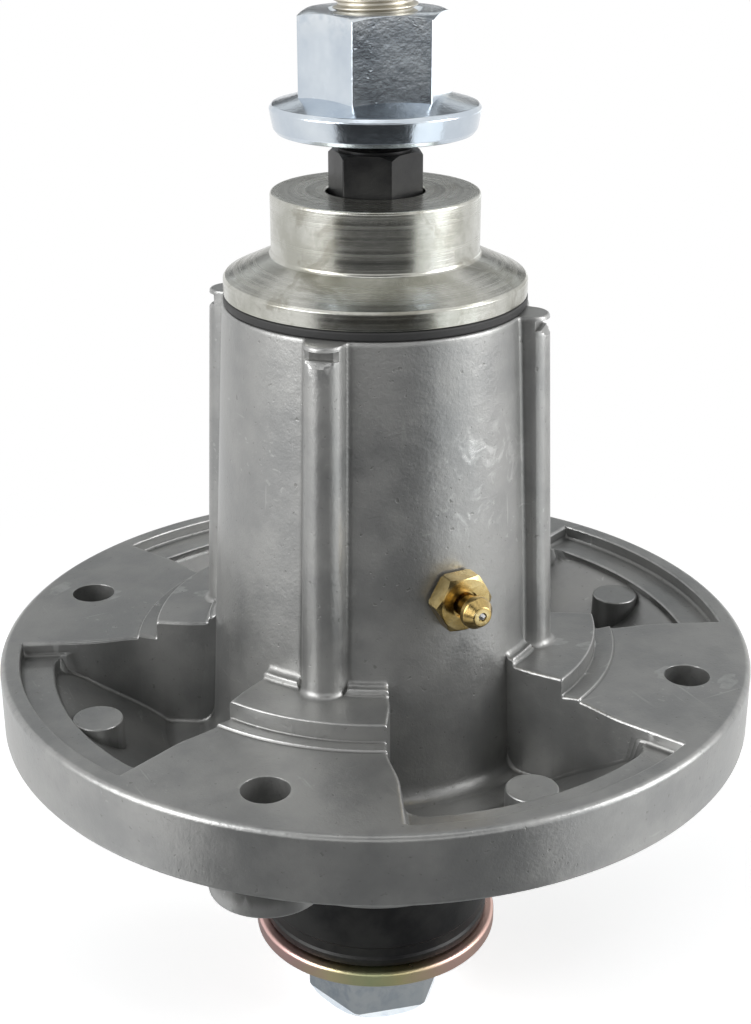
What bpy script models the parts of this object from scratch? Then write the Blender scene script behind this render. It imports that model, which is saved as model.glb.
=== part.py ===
"""Mower deck blade spindle: cast four-bolt housing, shaft on two sealed ball bearings.

Frame: metres, +Z up along the spindle axis. The origin is the middle of the blade bolt's
underside, the lowest point. The grease fitting faces -Y.
"""
import math

import bmesh
import bpy
from mathutils import Matrix, Vector

# Round work: how many flats stand for a full circle
HOUSING_STEPS = 60
TURNED_STEPS = 32
WIDE_STEPS = 40
RACE_STEPS = 24
SMALL_STEPS = 12
ARC_STEPS = 3

# Gaps: seats that touch on the real part, and faces that run past each other
SEAT_GAP = 0.0003
RUN_GAP = 0.0003
WELD = 0.000001

# Blade bolt and cup washer
BOLT_HEAD_FLATS = 0.0270
BOLT_HEAD_HEIGHT = 0.0139
BOLT_RADIUS = 0.0079
BOLT_ENGAGEMENT = 0.0300
BOLT_HOLE_SPARE = 0.0060
HEX_CHAMFER = 0.0014
WASHER_RADIUS = 0.0268
WASHER_THICKNESS = 0.0035
WASHER_DISH = 0.0046
WASHER_RIM_LAND = 0.0040
WASHER_CENTRE_RADIUS = 0.0145

# Spindle shaft
BLADE_SEAT_RADIUS = 0.0249
BLADE_SEAT_HEIGHT = 0.0175
BLADE_SEAT_GROOVE_HEIGHT = 0.0040
BLADE_SEAT_GROOVE_DEPTH = 0.0008
SHOULDER_HEIGHT = 0.0023
SHOULDER_BELOW_LIP = 0.0015
JOURNAL_RADIUS = 0.0125
DRIVE_HEX_FLATS = 0.0160
DRIVE_HEX_ABOVE_COLLAR = 0.0077
DRIVE_HEX_CHAMFER = 0.0010
DRIVE_HEX_TURN = -8.6
THREAD_RELIEF = 0.0001
THREAD_NECK_DEPTH = 0.0009
THREAD_NECK_HEIGHT = 0.0018
THREAD_ABOVE_NUT = 0.0031
EDGE_CHAMFER = 0.0008

# Ball bearings, both the same
BEARING_RADIUS = 0.0260
BEARING_WIDTH = 0.0150
BALL_COUNT = 9
GROOVE_SHARE = 0.6364
RACE_LIP_SHARE = 0.45
RACE_CHAMFER = 0.0008
CAGE_WALL = 0.0013
CAGE_FINGER = 0.0018
CAGE_RING_GAP = 0.0004
BEARING_SEAL_THICKNESS = 0.0011
BEARING_SEAL_SEAT = 0.0012
BEARING_SPACING = 0.0892
SPACER_WALL = 0.0032

# Dust seals above and below the bearings
DUST_SEAL_THICKNESS = 0.0012
UPPER_SEAL_RADIUS = 0.0297
LOWER_SEAL_CLEARANCE = 0.0008
SEAL_LIP_HEIGHT = 0.0004

# Collar under the pulley
COLLAR_RADIUS = 0.0296
COLLAR_RIM_HEIGHT = 0.0027
COLLAR_CONE_HEIGHT = 0.0051
COLLAR_BOSS_RADIUS = 0.0202
COLLAR_BOSS_HEIGHT = 0.0119
COLLAR_TOP_WALL = 0.0040

# Pulley nut: a hexagon on a thick round flange
NUT_FLATS = 0.0270
NUT_HEX_HEIGHT = 0.0151
NUT_FLANGE_RADIUS = 0.0200
NUT_FLANGE_HEIGHT = 0.0050
NUT_CONE_HEIGHT = 0.0022
NUT_TURN = 16.4
PULLEY_GAP = 0.0110

# Housing: flange, pads and pockets
DECK_FACE_ABOVE_LOWER_BEARING = 0.0473
FLANGE_RADIUS = 0.0780
FLANGE_THICKNESS = 0.0145
FLANGE_EDGE = 0.0012
PILOT_RADIUS = 0.0500
PILOT_HEIGHT = 0.0059
PILOT_DRAFT = 0.0005
PILOT_RING_WIDTH = 0.0024
PILOT_RING_HEIGHT = 0.0010
TUBE_LAND_WIDTH = 0.0029
TUBE_LAND_HEIGHT = 0.0010
STEP_DRAFT = 0.0001
PAD_HALF_ANGLE = 21.6
RIM_WALL = 0.0040
POCKET_STEP = 0.0030
POCKET_LEDGE = 0.0069
POCKET_DEPTH = 0.0200
POCKET_SLOPE = 34.0
POCKET_LIP = 0.0018
POCKET_CORNER = 0.0050
POCKET_SIDE_DRAFT = 0.4
WEB_THICKNESS = 0.0062
ISLAND_RADIUS = 0.0050
ISLAND_INSIDE_LEDGE = 0.0053
ISLAND_BELOW_DECK = 0.0045

# Housing: bolt holes and what backs them
BOLT_HOLE_RADIUS = 0.0045
BOLT_CIRCLE_RADIUS = 0.0657
BOLT_BOSS_RADIUS = 0.0108
BOLT_BOSS_DRAFT = 0.0006
BOLT_BOSS_LENGTH = 0.0200
CORE_WALL = 0.0060
CORE_HALF_ANGLE = 13.0
CORE_SIDE_CLEARANCE = 0.0020

# Housing: bearing tube and its four ribs
TUBE_WALL = 0.0037
TUBE_DRAFT = 2.9
TUBE_ABOVE_BEARING = 0.0007
TUBE_EDGE = 0.0006
TUBE_FOOT_FILLET = 0.0035
HUB_WALL = 0.0037
HUB_BELOW_BEARING = 0.0017
BEARING_STOP = 0.0035
RIB_TOP_RADIUS = 0.0038
RIB_FOOT_RADIUS = 0.0045
RIB_PROUD_TOP = 0.0047
RIB_PROUD_FOOT = 0.0040
RIB_NOTCH_HEIGHT = 0.0019
RIB_NOTCH_DEPTH = 0.0020
RIB_NOTCH_BELOW_TOP = 0.0009
RIB_NOTCH_LAND = 0.0014

# Grease fitting
FITTING_ABOVE_DECK = 0.0220
FITTING_THREAD_RADIUS = 0.0031
FITTING_THREAD_LENGTH = 0.0060
FITTING_HEX_FLATS = 0.0100
FITTING_HEX_HEIGHT = 0.0042
FITTING_NECK_RADIUS = 0.0022
FITTING_NECK_HEIGHT = 0.0026
FITTING_HEAD_RADIUS = 0.00325
FITTING_HEAD_HEIGHT = 0.0042
FITTING_BORE_RADIUS = 0.0016
FITTING_MOUTH_RADIUS = 0.0009
FITTING_MOUTH_LENGTH = 0.0006
CHECK_BALL_RADIUS = 0.0012
CHECK_SPRING_WIRE = 0.00015
CHECK_SPRING_TURNS = 5
CHECK_SPRING_GAP = 0.0001

# Heights of the stack, from the bolt head upward
washer_centre_z = BOLT_HEAD_HEIGHT + SEAT_GAP
washer_rim_top_z = washer_centre_z + WASHER_DISH + WASHER_THICKNESS
blade_seat_z = washer_rim_top_z + SEAT_GAP
seat_top_z = blade_seat_z + BLADE_SEAT_HEIGHT
shoulder_top_z = seat_top_z + SHOULDER_HEIGHT
lower_bearing_z = shoulder_top_z + SEAT_GAP + BEARING_WIDTH / 2
upper_bearing_z = lower_bearing_z + BEARING_SPACING + BEARING_WIDTH
lower_bearing_bottom_z = lower_bearing_z - BEARING_WIDTH / 2
lower_bearing_top_z = lower_bearing_z + BEARING_WIDTH / 2
upper_bearing_bottom_z = upper_bearing_z - BEARING_WIDTH / 2
upper_bearing_top_z = upper_bearing_z + BEARING_WIDTH / 2
deck_z = lower_bearing_bottom_z + DECK_FACE_ABOVE_LOWER_BEARING
hub_bottom_z = lower_bearing_bottom_z - HUB_BELOW_BEARING
tube_top_z = upper_bearing_top_z + TUBE_ABOVE_BEARING
collar_neck_z = upper_bearing_top_z + SEAT_GAP
upper_seal_z = tube_top_z + RUN_GAP
collar_rim_z = upper_seal_z + DUST_SEAL_THICKNESS + SEAT_GAP
collar_cone_z = collar_rim_z + COLLAR_RIM_HEIGHT
collar_boss_z = collar_cone_z + COLLAR_CONE_HEIGHT
collar_top_z = collar_boss_z + COLLAR_BOSS_HEIGHT
journal_top_z = collar_top_z - COLLAR_TOP_WALL - SEAT_GAP
drive_hex_top_z = collar_top_z + DRIVE_HEX_ABOVE_COLLAR
nut_z = collar_top_z + PULLEY_GAP
nut_hex_z = nut_z + NUT_FLANGE_HEIGHT + NUT_CONE_HEIGHT
nut_top_z = nut_hex_z + NUT_HEX_HEIGHT
shaft_top_z = nut_top_z + THREAD_ABOVE_NUT
fitting_z = deck_z + FITTING_ABOVE_DECK

# Radii that follow from the ones above
bearing_bore_radius = BEARING_RADIUS + SEAT_GAP
stop_bore_radius = BEARING_RADIUS - BEARING_STOP
tube_radius = bearing_bore_radius + TUBE_WALL
hub_radius = bearing_bore_radius + HUB_WALL
lower_seal_radius = bearing_bore_radius - LOWER_SEAL_CLEARANCE
race_bore_radius = JOURNAL_RADIUS + SEAT_GAP
ball_pitch_radius = (BEARING_RADIUS + race_bore_radius) / 2
groove_room_across = (BEARING_RADIUS - race_bore_radius) / 2 * GROOVE_SHARE
groove_room_along = BEARING_WIDTH / 2 - BEARING_SEAL_THICKNESS - CAGE_WALL - 3 * SEAT_GAP
groove_radius = min(groove_room_across, groove_room_along)
ball_radius = groove_radius - RUN_GAP
race_lip = groove_radius * RACE_LIP_SHARE
shoulder_radius = ball_pitch_radius - race_lip - SHOULDER_BELOW_LIP
drive_hex_radius = DRIVE_HEX_FLATS / 2 / math.cos(math.pi / 6)
thread_radius = DRIVE_HEX_FLATS / 2 - THREAD_RELIEF
web_inner_radius = (bearing_bore_radius + tube_radius) / 2
cut_inner_radius = web_inner_radius - BEARING_STOP
ledge_radius = FLANGE_RADIUS - RIM_WALL - POCKET_LEDGE
island_circle_radius = ledge_radius - ISLAND_INSIDE_LEDGE
pocket_half_angle = 45.0 - PAD_HALF_ANGLE
pad_angles = (-45.0, 45.0, 135.0, 225.0)
pocket_angles = (0.0, 90.0, 180.0, 270.0)


def tube_radius_at(z):
    """Outer radius of the drafted bearing tube at a height."""
    return tube_radius + (tube_top_z - z) * math.tan(math.radians(TUBE_DRAFT))


def around(radius, angle, z=0.0):
    """Point at a radius and an angle in degrees, measured from -Y towards +X."""
    turn = math.radians(angle)
    return Vector((radius * math.sin(turn), -radius * math.cos(turn), z))


def arc(centre, radius, start, end, steps=ARC_STEPS):
    """Points of a profile arc, angles in degrees from the +X side of the profile."""
    points = []
    for i in range(steps + 1):
        turn = math.radians(start + (end - start) * i / steps)
        points.append((centre[0] + radius * math.cos(turn), centre[1] + radius * math.sin(turn)))
    return points


def clear_scene():
    for item in list(bpy.data.objects):
        bpy.data.objects.remove(item, do_unlink=True)


def new_collection(name):
    collection = bpy.data.collections.new(name)
    bpy.context.scene.collection.children.link(collection)
    return collection


def new_material(name, colour, roughness, metallic):
    material = bpy.data.materials.new(name)
    material.use_nodes = True
    shader = material.node_tree.nodes["Principled BSDF"]
    shader.inputs["Base Color"].default_value = (*colour, 1.0)
    shader.inputs["Roughness"].default_value = roughness
    shader.inputs["Metallic"].default_value = metallic
    return material


def new_empty(name, location):
    empty = bpy.data.objects.new(name, None)
    empty.location = location
    parts.objects.link(empty)
    return empty


def new_object(name, mesh, collection):
    item = bpy.data.objects.new(name, mesh)
    collection.objects.link(item)
    return item


def mesh_from(name, shape):
    mesh = bpy.data.meshes.new(name)
    shape.to_mesh(mesh)
    shape.free()
    return mesh


def evaluated_mesh(item):
    """A new mesh that holds the object's shape with its modifiers applied."""
    bpy.context.view_layer.update()
    evaluated = item.evaluated_get(bpy.context.evaluated_depsgraph_get())
    return bpy.data.meshes.new_from_object(evaluated)


def as_cutter(item):
    item.hide_render = True
    item.display_type = "WIRE"
    return item


def turned(name, profile, collection, closed=True, steps=TURNED_STEPS):
    """Turns a profile of (radius, height) points, listed down its outer side, about Z."""
    mesh = bpy.data.meshes.new(name)
    last = len(profile) if closed else len(profile) - 1
    edges = [(i, (i + 1) % len(profile)) for i in range(last)]
    mesh.from_pydata([(radius, 0.0, z) for radius, z in profile], edges, [])
    item = new_object(name, mesh, collection)
    screw = item.modifiers.new("turn", "SCREW")
    screw.axis = "Z"
    screw.steps = steps
    screw.render_steps = steps
    screw.use_merge_vertices = True
    screw.merge_threshold = WELD
    screw.use_smooth_shade = True
    return item


def prism(name, radius, bottom, top, collection, sides, top_radius=None, turn=0.0):
    """Upright cylinder, cone or hexagon standing on the object's own Z axis."""
    shape = bmesh.new()
    middle = Matrix.Translation((0.0, 0.0, (bottom + top) / 2))
    bmesh.ops.create_cone(
        shape,
        cap_ends=True,
        segments=sides,
        radius1=radius,
        radius2=radius if top_radius is None else top_radius,
        depth=top - bottom,
        matrix=middle @ Matrix.Rotation(math.radians(turn), 4, "Z"),
    )
    return new_object(name, mesh_from(name, shape), collection)


def join_around(name, source, angles, collection):
    """One object with a copy of the source, as modified, at each angle round the spindle axis."""
    source_mesh = evaluated_mesh(source)
    shape = bmesh.new()
    for angle in angles:
        before = len(shape.verts)
        shape.from_mesh(source_mesh)
        shape.verts.ensure_lookup_table()
        bmesh.ops.rotate(
            shape,
            verts=shape.verts[before:],
            cent=(0.0, 0.0, 0.0),
            matrix=Matrix.Rotation(math.radians(angle), 3, "Z"),
        )
    bpy.data.objects.remove(source, do_unlink=True)
    return new_object(name, mesh_from(name, shape), collection)


def sector(name, half_angle, inner, outer, bottom, top, collection, corner=0.0):
    """Upright wedge of a ring, centred on -Y, with its two outer corners rounded."""
    shape = bmesh.new()
    steps = 10
    rim = [around(outer, half_angle * (2 * i / steps - 1), bottom) for i in range(steps + 1)]
    core = [around(inner, half_angle * (1 - 2 * i / steps), bottom) for i in range(steps + 1)]
    face = shape.faces.new([shape.verts.new(point) for point in rim + core])
    if corner:
        ends = [face.verts[0], face.verts[steps]]
        bmesh.ops.bevel(
            shape, geom=ends, offset=corner, affect="VERTICES", segments=ARC_STEPS, profile=0.5
        )
    grown = bmesh.ops.extrude_face_region(shape, geom=list(shape.faces))
    raised = [v for v in grown["geom"] if isinstance(v, bmesh.types.BMVert)]
    bmesh.ops.translate(shape, verts=raised, vec=(0.0, 0.0, top - bottom))
    bmesh.ops.recalc_face_normals(shape, faces=list(shape.faces))
    return new_object(name, mesh_from(name, shape), collection)


def combine(item, other, operation):
    boolean = item.modifiers.new(operation.lower() + "_" + other.name, "BOOLEAN")
    boolean.operation = operation
    boolean.solver = "EXACT"
    boolean.object = other


def finish(item, material, parent=None, edge_angle=35.0):
    """Fixes the modifiers into the mesh, shades it and gives it its material."""
    mesh = evaluated_mesh(item)
    shape = bmesh.new()
    shape.from_mesh(mesh)
    bmesh.ops.remove_doubles(shape, verts=list(shape.verts), dist=WELD)
    shape.to_mesh(mesh)
    shape.free()
    item.modifiers.clear()
    item.data = mesh
    mesh.name = item.name
    mesh.materials.clear()
    mesh.materials.append(material)
    mesh.shade_smooth()
    mesh.set_sharp_from_angle(angle=math.radians(edge_angle))
    item.parent = parent
    return item


def tube_and_hub():
    """The drafted tube, the hub below the web and both bearing bores in one turned wall."""
    floor_z = deck_z - POCKET_DEPTH
    foot_z = floor_z + TUBE_FOOT_FILLET
    foot_radius = tube_radius_at(foot_z) + TUBE_FOOT_FILLET
    web_z = floor_z - WEB_THICKNESS
    profile = [
        (bearing_bore_radius, tube_top_z),
        (tube_radius - TUBE_EDGE, tube_top_z),
        (tube_radius, tube_top_z - TUBE_EDGE),
    ]
    profile += arc((foot_radius, foot_z), TUBE_FOOT_FILLET, 180.0, 270.0)
    profile += [(foot_radius, floor_z - WEB_THICKNESS / 2)]
    profile += arc((hub_radius + TUBE_FOOT_FILLET, web_z - TUBE_FOOT_FILLET), TUBE_FOOT_FILLET, 90.0, 180.0)
    profile += [
        (hub_radius, hub_bottom_z + TUBE_EDGE),
        (hub_radius - TUBE_EDGE, hub_bottom_z),
        (bearing_bore_radius, hub_bottom_z),
        (bearing_bore_radius, lower_bearing_top_z + SEAT_GAP),
        (stop_bore_radius, lower_bearing_top_z + SEAT_GAP),
        (stop_bore_radius, upper_bearing_bottom_z - SEAT_GAP),
        (bearing_bore_radius, upper_bearing_bottom_z - SEAT_GAP),
    ]
    return as_cutter(turned("tube_and_hub", profile, cutters, steps=HOUSING_STEPS))


def flange_blank():
    """Flange, pilot step and sloping web as one turned disc, before the pockets are cut."""
    flange_bottom_z = deck_z - FLANGE_THICKNESS
    floor_z = deck_z - POCKET_DEPTH
    slope = math.tan(math.radians(POCKET_SLOPE))
    ledge_z = deck_z - POCKET_STEP
    web_radius = ledge_radius - (ledge_z - WEB_THICKNESS / math.cos(math.radians(POCKET_SLOPE))
                                 - flange_bottom_z) / slope
    web_foot_radius = web_radius - (flange_bottom_z - floor_z + WEB_THICKNESS) / slope
    pilot_z = deck_z + PILOT_HEIGHT
    land_radius = tube_radius_at(pilot_z) + TUBE_LAND_WIDTH
    ring_radius = PILOT_RADIUS + PILOT_RING_WIDTH
    profile = [
        (web_inner_radius, pilot_z + TUBE_LAND_HEIGHT),
        (land_radius, pilot_z + TUBE_LAND_HEIGHT),
        (land_radius + STEP_DRAFT, pilot_z),
        (PILOT_RADIUS - PILOT_DRAFT, pilot_z),
        (PILOT_RADIUS, deck_z + PILOT_RING_HEIGHT),
        (ring_radius, deck_z + PILOT_RING_HEIGHT),
        (ring_radius + STEP_DRAFT, deck_z),
        (FLANGE_RADIUS - FLANGE_EDGE, deck_z),
        (FLANGE_RADIUS, deck_z - FLANGE_EDGE),
        (FLANGE_RADIUS, flange_bottom_z + FLANGE_EDGE),
        (FLANGE_RADIUS - FLANGE_EDGE, flange_bottom_z),
        (web_radius, flange_bottom_z),
        (web_foot_radius, floor_z - WEB_THICKNESS),
        (web_inner_radius, floor_z - WEB_THICKNESS),
    ]
    return turned("housing", profile, parts, steps=HOUSING_STEPS)


def pocket_steps():
    """The shallow step that outlines the four pockets inside the rim."""
    one = sector("pocket_step", pocket_half_angle, cut_inner_radius, FLANGE_RADIUS - RIM_WALL,
                 deck_z - POCKET_STEP, deck_z + 2 * PILOT_HEIGHT, cutters, corner=EDGE_CHAMFER)
    return as_cutter(join_around("pocket_steps", one, pocket_angles, cutters))


def deep_pockets():
    """The sloping pocket floors: a turned floor shape kept only inside four rounded wedges."""
    floor_z = deck_z - POCKET_DEPTH
    top_z = deck_z + 2 * PILOT_HEIGHT
    ledge_z = deck_z - POCKET_STEP
    slope_top_z = ledge_z - POCKET_LIP
    run = (slope_top_z - floor_z) / math.tan(math.radians(POCKET_SLOPE))
    profile = [
        (cut_inner_radius, top_z),
        (ledge_radius, top_z),
        (ledge_radius, slope_top_z),
        (ledge_radius - run, floor_z),
        (cut_inner_radius, floor_z),
    ]
    floor = as_cutter(turned("deep_pockets", profile, cutters, steps=HOUSING_STEPS))
    one = sector("pocket_plan", pocket_half_angle - POCKET_SIDE_DRAFT, cut_inner_radius - BEARING_STOP,
                 ledge_radius + EDGE_CHAMFER, floor_z - WEB_THICKNESS, deck_z + PILOT_HEIGHT + EDGE_CHAMFER,
                 cutters, corner=POCKET_CORNER)
    plan = as_cutter(join_around("pocket_plans", one, pocket_angles, cutters))
    combine(floor, plan, "INTERSECT")
    return floor


def ribs():
    """Four half-round ribs that lean with the tube's draft from the pilot step to its top."""
    foot_z = deck_z + PILOT_HEIGHT / 2
    one = prism("rib", RIB_FOOT_RADIUS, foot_z, tube_top_z, cutters, SMALL_STEPS,
                top_radius=RIB_TOP_RADIUS)
    foot_centre = tube_radius_at(foot_z) + RIB_PROUD_FOOT - RIB_FOOT_RADIUS
    top_centre = tube_radius + RIB_PROUD_TOP - RIB_TOP_RADIUS
    for vertex in one.data.vertices:
        low = vertex.co.z < (foot_z + tube_top_z) / 2
        vertex.co.y -= foot_centre if low else top_centre
    combine(one, rib_notch(), "DIFFERENCE")
    return as_cutter(join_around("ribs", one, pad_angles, cutters))


def rib_notch():
    """The short slot across a rib just under its top, open on one flank."""
    outer = tube_radius + RIB_PROUD_TOP
    top = tube_top_z - RIB_NOTCH_BELOW_TOP
    left = -RIB_TOP_RADIUS - RIB_NOTCH_DEPTH
    right = RIB_TOP_RADIUS - RIB_NOTCH_LAND
    shape = bmesh.new()
    place = Matrix.Translation(((left + right) / 2, -outer, top - RIB_NOTCH_HEIGHT / 2))
    size = Matrix.Diagonal((right - left, 2 * RIB_NOTCH_DEPTH, RIB_NOTCH_HEIGHT, 1.0))
    bmesh.ops.create_cube(shape, size=1.0, matrix=place @ size)
    return as_cutter(new_object("rib_notch", mesh_from("rib_notch", shape), cutters))


def islands():
    """Small round flats that rise from each pocket's slope, left by the casting's ejectors."""
    one = prism("island", ISLAND_RADIUS, deck_z - POCKET_DEPTH + WEB_THICKNESS,
                deck_z - ISLAND_BELOW_DECK, cutters, SMALL_STEPS)
    one.data.transform(Matrix.Translation(around(island_circle_radius, 0.0)))
    return as_cutter(join_around("islands", one, pocket_angles, cutters))


def bolt_bosses():
    """Round bosses that carry the bolt holes below the flange."""
    one = prism("bolt_boss", BOLT_BOSS_RADIUS, deck_z - BOLT_BOSS_LENGTH,
                deck_z - FLANGE_THICKNESS / 2, cutters, SMALL_STEPS + ARC_STEPS,
                top_radius=BOLT_BOSS_RADIUS + BOLT_BOSS_DRAFT)
    one.data.transform(Matrix.Translation(around(BOLT_CIRCLE_RADIUS, 0.0)))
    return as_cutter(join_around("bolt_bosses", one, pad_angles, cutters))


def core_pockets():
    """Recesses cored out under the pads, between the hub and the bolt bosses."""
    hub_foot = hub_radius + TUBE_FOOT_FILLET + CORE_WALL
    boss_side = BOLT_CIRCLE_RADIUS - BOLT_BOSS_RADIUS - BOLT_BOSS_DRAFT - CORE_SIDE_CLEARANCE
    one = sector("core_pocket", CORE_HALF_ANGLE, hub_foot, boss_side, hub_bottom_z,
                 deck_z - CORE_WALL, cutters, corner=CORE_SIDE_CLEARANCE)
    return as_cutter(join_around("core_pockets", one, pad_angles, cutters))


def bolt_holes():
    one = prism("bolt_hole", BOLT_HOLE_RADIUS, deck_z - BOLT_BOSS_LENGTH - CORE_WALL,
                deck_z + CORE_WALL, cutters, SMALL_STEPS + ARC_STEPS)
    one.data.transform(Matrix.Translation(around(BOLT_CIRCLE_RADIUS, 0.0)))
    return as_cutter(join_around("bolt_holes", one, pad_angles, cutters))


def fitting_hole():
    """Cross hole through the tube wall that takes the grease fitting's thread."""
    hole = prism("fitting_hole", FITTING_THREAD_RADIUS + SEAT_GAP, stop_bore_radius - CORE_WALL,
                 tube_radius_at(fitting_z) + CORE_WALL, cutters, SMALL_STEPS)
    hole.data.transform(Matrix.Rotation(math.pi / 2, 4, "X"))
    hole.data.transform(Matrix.Translation((0.0, 0.0, fitting_z)))
    return as_cutter(hole)


def make_housing():
    housing = flange_blank()
    combine(housing, pocket_steps(), "DIFFERENCE")
    combine(housing, deep_pockets(), "DIFFERENCE")
    combine(housing, islands(), "UNION")
    combine(housing, bolt_bosses(), "UNION")
    combine(housing, core_pockets(), "DIFFERENCE")
    combine(housing, ribs(), "UNION")
    combine(housing, tube_and_hub(), "UNION")
    combine(housing, bolt_holes(), "DIFFERENCE")
    combine(housing, fitting_hole(), "DIFFERENCE")
    return finish(housing, cast_aluminium)


def make_shaft():
    """Blade seat, bearing journal, drive hexagon and nut thread on one turned shaft."""
    groove_z = blade_seat_z + BLADE_SEAT_GROOVE_HEIGHT
    hole_radius = BOLT_RADIUS + SEAT_GAP
    hole_top_z = blade_seat_z + BOLT_ENGAGEMENT + BOLT_HOLE_SPARE
    profile = [
        (0.0, shaft_top_z),
        (thread_radius - EDGE_CHAMFER, shaft_top_z),
        (thread_radius, shaft_top_z - EDGE_CHAMFER),
        (thread_radius, drive_hex_top_z + THREAD_NECK_HEIGHT),
        (thread_radius - THREAD_NECK_DEPTH, drive_hex_top_z + THREAD_NECK_HEIGHT),
        (thread_radius - THREAD_NECK_DEPTH, journal_top_z),
        (JOURNAL_RADIUS - EDGE_CHAMFER, journal_top_z),
        (JOURNAL_RADIUS, journal_top_z - EDGE_CHAMFER),
        (JOURNAL_RADIUS, shoulder_top_z),
        (shoulder_radius, shoulder_top_z),
        (shoulder_radius, seat_top_z),
        (BLADE_SEAT_RADIUS - EDGE_CHAMFER, seat_top_z),
        (BLADE_SEAT_RADIUS, seat_top_z - EDGE_CHAMFER),
        (BLADE_SEAT_RADIUS, groove_z + BLADE_SEAT_GROOVE_DEPTH),
        (BLADE_SEAT_RADIUS - BLADE_SEAT_GROOVE_DEPTH, groove_z),
        (BLADE_SEAT_RADIUS - BLADE_SEAT_GROOVE_DEPTH, blade_seat_z),
        (hole_radius, blade_seat_z),
        (hole_radius, hole_top_z),
        (0.0, hole_top_z + hole_radius / 2),
    ]
    shaft = turned("spindle_shaft", profile, parts, closed=False)
    drive = prism("drive_hexagon", drive_hex_radius, journal_top_z - EDGE_CHAMFER,
                  drive_hex_top_z, cutters, 6, turn=DRIVE_HEX_TURN)
    crown = [
        (0.0, drive_hex_top_z + EDGE_CHAMFER),
        (drive_hex_radius - DRIVE_HEX_CHAMFER, drive_hex_top_z + EDGE_CHAMFER),
        (drive_hex_radius - DRIVE_HEX_CHAMFER, drive_hex_top_z),
        (drive_hex_radius + EDGE_CHAMFER, drive_hex_top_z - DRIVE_HEX_CHAMFER - EDGE_CHAMFER),
        (drive_hex_radius + EDGE_CHAMFER, journal_top_z - 2 * EDGE_CHAMFER),
        (0.0, journal_top_z - 2 * EDGE_CHAMFER),
    ]
    combine(as_cutter(drive), as_cutter(turned("drive_crown", crown, cutters, closed=False)), "INTERSECT")
    combine(shaft, drive, "UNION")
    return finish(shaft, black_oxide, spin_axis)


def hexagon(name, flats, bottom, top, turn, collection, chamfer_bottom=False):
    """A hexagonal head whose corners are turned down to a chamfer at its free end."""
    radius = flats / 2 / math.cos(math.pi / 6)
    item = prism(name, radius, bottom, top, collection, 6, turn=turn)
    spare = radius + EDGE_CHAMFER
    inner = flats / 2 - EDGE_CHAMFER / 2
    if chamfer_bottom:
        profile = [(0.0, top + spare), (spare, top + spare), (spare, bottom + HEX_CHAMFER),
                   (inner, bottom), (0.0, bottom)]
    else:
        profile = [(0.0, top), (inner, top), (spare, top - HEX_CHAMFER),
                   (spare, bottom - spare), (0.0, bottom - spare)]
    crown = as_cutter(turned(name + "_crown", profile, cutters, closed=False))
    combine(item, crown, "INTERSECT")
    return item


def make_nut():
    """Pulley nut: hexagon over a thick rounded flange, bored for the thread."""
    hexagon_radius = NUT_FLATS / 2 / math.cos(math.pi / 6)
    half = NUT_FLANGE_HEIGHT / 2
    profile = [(0.0, nut_hex_z), (hexagon_radius - EDGE_CHAMFER, nut_hex_z)]
    profile += arc((NUT_FLANGE_RADIUS - half, nut_z + half), half, 70.0, -60.0, steps=4)
    profile += [(NUT_FLANGE_RADIUS - half, nut_z), (0.0, nut_z)]
    nut = turned("pulley_nut", profile, parts, closed=False, steps=WIDE_STEPS)
    head = as_cutter(hexagon("nut_hexagon", NUT_FLATS, nut_z + half, nut_top_z, NUT_TURN, cutters))
    bore = [
        (0.0, nut_top_z + EDGE_CHAMFER),
        (thread_radius + 3 * EDGE_CHAMFER, nut_top_z + EDGE_CHAMFER),
        (thread_radius + SEAT_GAP, nut_top_z - EDGE_CHAMFER),
        (thread_radius + SEAT_GAP, nut_z - EDGE_CHAMFER),
        (0.0, nut_z - EDGE_CHAMFER),
    ]
    combine(nut, head, "UNION")
    combine(nut, as_cutter(turned("nut_bore", bore, cutters, closed=False)), "DIFFERENCE")
    return finish(nut, bright_zinc, spin_axis, edge_angle=25.0)


def make_bolt():
    """Blade bolt: hexagon head below, shank screwed up into the shaft."""
    tip_z = blade_seat_z + BOLT_ENGAGEMENT
    bolt = hexagon("blade_bolt", BOLT_HEAD_FLATS, 0.0, BOLT_HEAD_HEIGHT, NUT_TURN, parts,
                   chamfer_bottom=True)
    shank = [
        (0.0, tip_z),
        (BOLT_RADIUS - EDGE_CHAMFER, tip_z),
        (BOLT_RADIUS, tip_z - EDGE_CHAMFER),
        (BOLT_RADIUS, BOLT_HEAD_HEIGHT / 2),
        (0.0, BOLT_HEAD_HEIGHT / 2),
    ]
    combine(bolt, as_cutter(turned("bolt_shank", shank, cutters, closed=False)), "UNION")
    return finish(bolt, bright_zinc, spin_axis, edge_angle=25.0)


def make_washer():
    """Dished washer: flat centre on the bolt head, cone, and a rim that lifts to the seat."""
    hole = BOLT_RADIUS + SEAT_GAP
    rim_inner = WASHER_RADIUS - WASHER_RIM_LAND
    top = washer_rim_top_z
    edge = EDGE_CHAMFER
    profile = [
        (rim_inner, top),
        (WASHER_RADIUS - edge, top),
        (WASHER_RADIUS, top - edge),
        (WASHER_RADIUS, top - WASHER_THICKNESS + edge),
        (WASHER_RADIUS - edge, top - WASHER_THICKNESS),
        (rim_inner, top - WASHER_THICKNESS),
        (WASHER_CENTRE_RADIUS, washer_centre_z),
        (hole, washer_centre_z),
        (hole, washer_centre_z + WASHER_THICKNESS),
        (WASHER_CENTRE_RADIUS, washer_centre_z + WASHER_THICKNESS),
    ]
    return finish(turned("cup_washer", profile, parts), yellow_zinc, spin_axis)


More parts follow.
